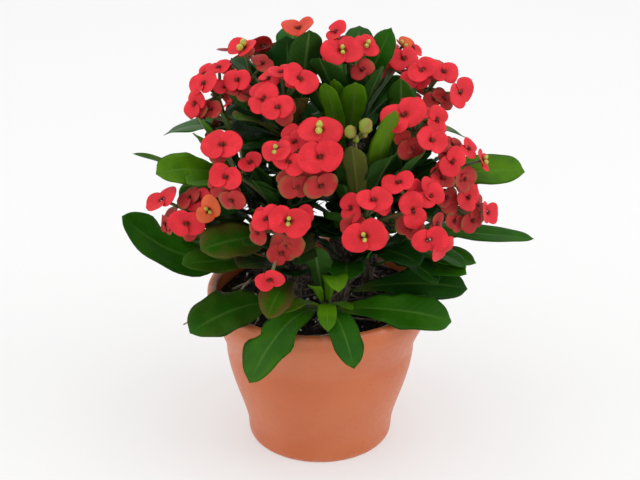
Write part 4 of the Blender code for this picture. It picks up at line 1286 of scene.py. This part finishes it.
class EUPHORBIA_OT_flowers(bpy.types.Operator):
    """Build the flower heads: forking stalks, paired bracts and the cups between them"""
    bl_idname = "euphorbia.flowers"
    bl_label = "Flower heads"

    def execute(self, context):
        flowers = context.scene.euphorbia_flowers
        finishes = [
            stalk_finish(flowers),
            plain_finish("flower_cup", flowers.cup, [0.6 * part for part in flowers.cup], 900, 0.5,
                         0.0001),
            plain_finish("nectar_gland", flowers.nectar, (0.30, 0.36, 0.05), 500, 0.4, 0.0001),
            bract_finish(flowers), bract_finish(flowers, back=True),
            plain_finish("late_bud", flowers.late, (0.26, 0.17, 0.03), 160, 0.42, 0.00005)]
        for index, head in enumerate(HEADS, start=1):
            work = new_work()
            self.add_head(work, head, Random(HEAD_SEED + index), flowers.thickness / MM / 2)
            new_piece(f"cyme_{index:02d}", work, finishes, "bract", f"flower_head_{index:02d}")
        work = new_work()
        foot = stem_point("front_right", 1)
        fork = polar(*LATE_FORK)
        points = [foot.lerp(fork, step / 6) for step in range(7)]
        add_tube(work, points, [LATE_STALK_RADIUS] * len(points), 8, STALK)
        for place, size in LATE_BUDS:
            bud = polar(*place)
            way = (bud - fork).normalized()
            add_tube(work, [fork - way, fork.lerp(bud, 0.5), bud], LATE_TWIG_RADII, 7, STALK)
            for rise in (-LATE_BUD_PARTING, LATE_BUD_PARTING):
                add_bud(work, bud + UP * rise - way * size * 0.4, way, size, LATE)
        new_piece("late_buds", work, finishes, "bract")
        return {"FINISHED"}

    def add_head(self, work, head, chance, half_thickness):
        stem, share, place, look, flowers = head
        face = polar(*place)
        out, up, right = face_axes(*look)
        fork = face - out * FORK_DEPTH
        start = beside_stem(stem, share, fork, STALK_RADIUS)
        guide = start.lerp(fork, 0.5) + UP * (0.12 * (fork - start).length)
        stalk = [curved(start, guide, fork, step / 10) for step in range(11)]
        radii = [STALK_RADIUS * (1.15 - 0.3 * sin(pi * step / 10)) for step in range(11)]
        add_tube(work, stalk, radii, 9, STALK)
        spare = SPARE_FLOWERS if len(flowers) > 1 else 0
        for clock, reach, depth, pair_clock, width, stage in flowers + spare_flowers(spare, chance):
            age, flush, tilt = STAGES[stage]
            width *= FULLNESS
            aside = (right * sin(radians(clock)) + up * cos(radians(clock))) * reach
            middle = face + aside - out * depth
            loose = right * chance.uniform(-FACE_PLAY, FACE_PLAY)
            loose += up * chance.uniform(-FACE_PLAY, FACE_PLAY)
            look_out = (out * DOME_RADIUS + aside + loose).normalized()
            along = right * sin(radians(pair_clock)) + up * cos(radians(pair_clock))
            along = (along - look_out * along.dot(look_out)).normalized()
            bend = fork.lerp(middle, 0.5) + aside * 0.15 - out * 1.5
            end = middle - look_out * 1.2
            twig = [curved(fork - out, bend, end, step / 6) for step in range(7)]
            add_tube(work, twig, [BRANCH_RADIUS] * 7, 7, STALK)
            for sign in (-1, 1):
                add_bract(work, middle, look_out, along * sign, width / 2, tilt, half_thickness,
                          chance, min(1, age + chance.uniform(0, 0.12)), flush)
            add_cup(work, middle, look_out, along, stage, chance)
        for sign in (-1, 1):
            scale_foot = fork - out * 0.5 + right * sign
            add_bud(work, scale_foot, (right * sign + out * 0.4).normalized(), 3.0, STALK)


# ------------------------------------------------------------------ stage

class EUPHORBIA_OT_stage(bpy.types.Operator):
    """Build the floor, the lights and the camera"""
    bl_idname = "euphorbia.stage"
    bl_label = "Stage"

    def execute(self, context):
        stage = context.scene.euphorbia_stage
        scene = context.scene
        scene.view_settings.view_transform = "Standard"
        work = bmesh.new()
        bmesh.ops.create_circle(work, cap_ends=True, segments=64, radius=FLOOR_RADIUS)
        material, _, shader = new_finish("studio_floor", 0.9, 0.0, 0.1)
        shader.inputs["Base Color"].default_value = paint(stage.floor)
        shader.inputs["Emission Color"].default_value = WHITE
        shader.inputs["Emission Strength"].default_value = FLOOR_GLOW
        floor = new_object("floor", work, material)

        world = bpy.data.worlds.new("studio")
        world.use_nodes = True
        sky = world.node_tree.nodes["Background"]
        sky.inputs["Color"].default_value = WHITE
        sky.inputs["Strength"].default_value = SKY_STRENGTH
        scene.world = world
        for name, (place, size, power) in LAMPS.items():
            light = bpy.data.lights.new(name, "AREA")
            light.shape = "SQUARE"
            light.size = size
            light.energy = power
            lamp = bpy.data.objects.new(name, light)
            lamp.location = place
            way = LAMP_AIM - Vector(place)
            lamp.rotation_euler = way.to_track_quat("-Z", "Y").to_euler()
            scene.collection.objects.link(lamp)

        camera = bpy.data.cameras.new("camera")
        camera.sensor_width = SENSOR_WIDTH
        camera.lens = stage.lens
        eye = bpy.data.objects.new("camera", camera)
        eye.location = (0, -stage.distance, stage.height)
        eye.rotation_euler = (pi / 2 - stage.pitch, 0, 0)
        scene.collection.objects.link(eye)
        scene.camera = eye
        return {"FINISHED"}


class EUPHORBIA_PT_parts(bpy.types.Panel):
    """The parts of the plant and its pot"""
    bl_label = "Potted crown of thorns"
    bl_idname = "EUPHORBIA_PT_parts"
    bl_space_type = "VIEW_3D"
    bl_region_type = "UI"
    bl_category = "Euphorbia"

    def draw(self, context):
        for operator in OPERATORS:
            self.layout.operator(operator.bl_idname)
        for key, group in SETTINGS.items():
            box = self.layout.box()
            for name in group.__annotations__:
                box.prop(getattr(context.scene, key), name)


OPERATORS = (EUPHORBIA_OT_stage, EUPHORBIA_OT_pot, EUPHORBIA_OT_soil, EUPHORBIA_OT_stems,
             EUPHORBIA_OT_leaves, EUPHORBIA_OT_inner_leaves, EUPHORBIA_OT_flowers)


def register():
    for kind in (*SETTINGS.values(), *OPERATORS, EUPHORBIA_PT_parts):
        bpy.utils.register_class(kind)
    for key, group in SETTINGS.items():
        setattr(bpy.types.Scene, key, bpy.props.PointerProperty(type=group))


def unregister():
    for key in SETTINGS:
        delattr(bpy.types.Scene, key)
    for kind in reversed((*SETTINGS.values(), *OPERATORS, EUPHORBIA_PT_parts)):
        bpy.utils.unregister_class(kind)


def main():
    register()
    bpy.ops.euphorbia.stage()
    bpy.ops.euphorbia.pot()
    bpy.ops.euphorbia.soil()
    bpy.ops.euphorbia.stems()
    bpy.ops.euphorbia.leaves()
    bpy.ops.euphorbia.inner_leaves()
    bpy.ops.euphorbia.flowers()


if __name__ == "__main__":
    main()
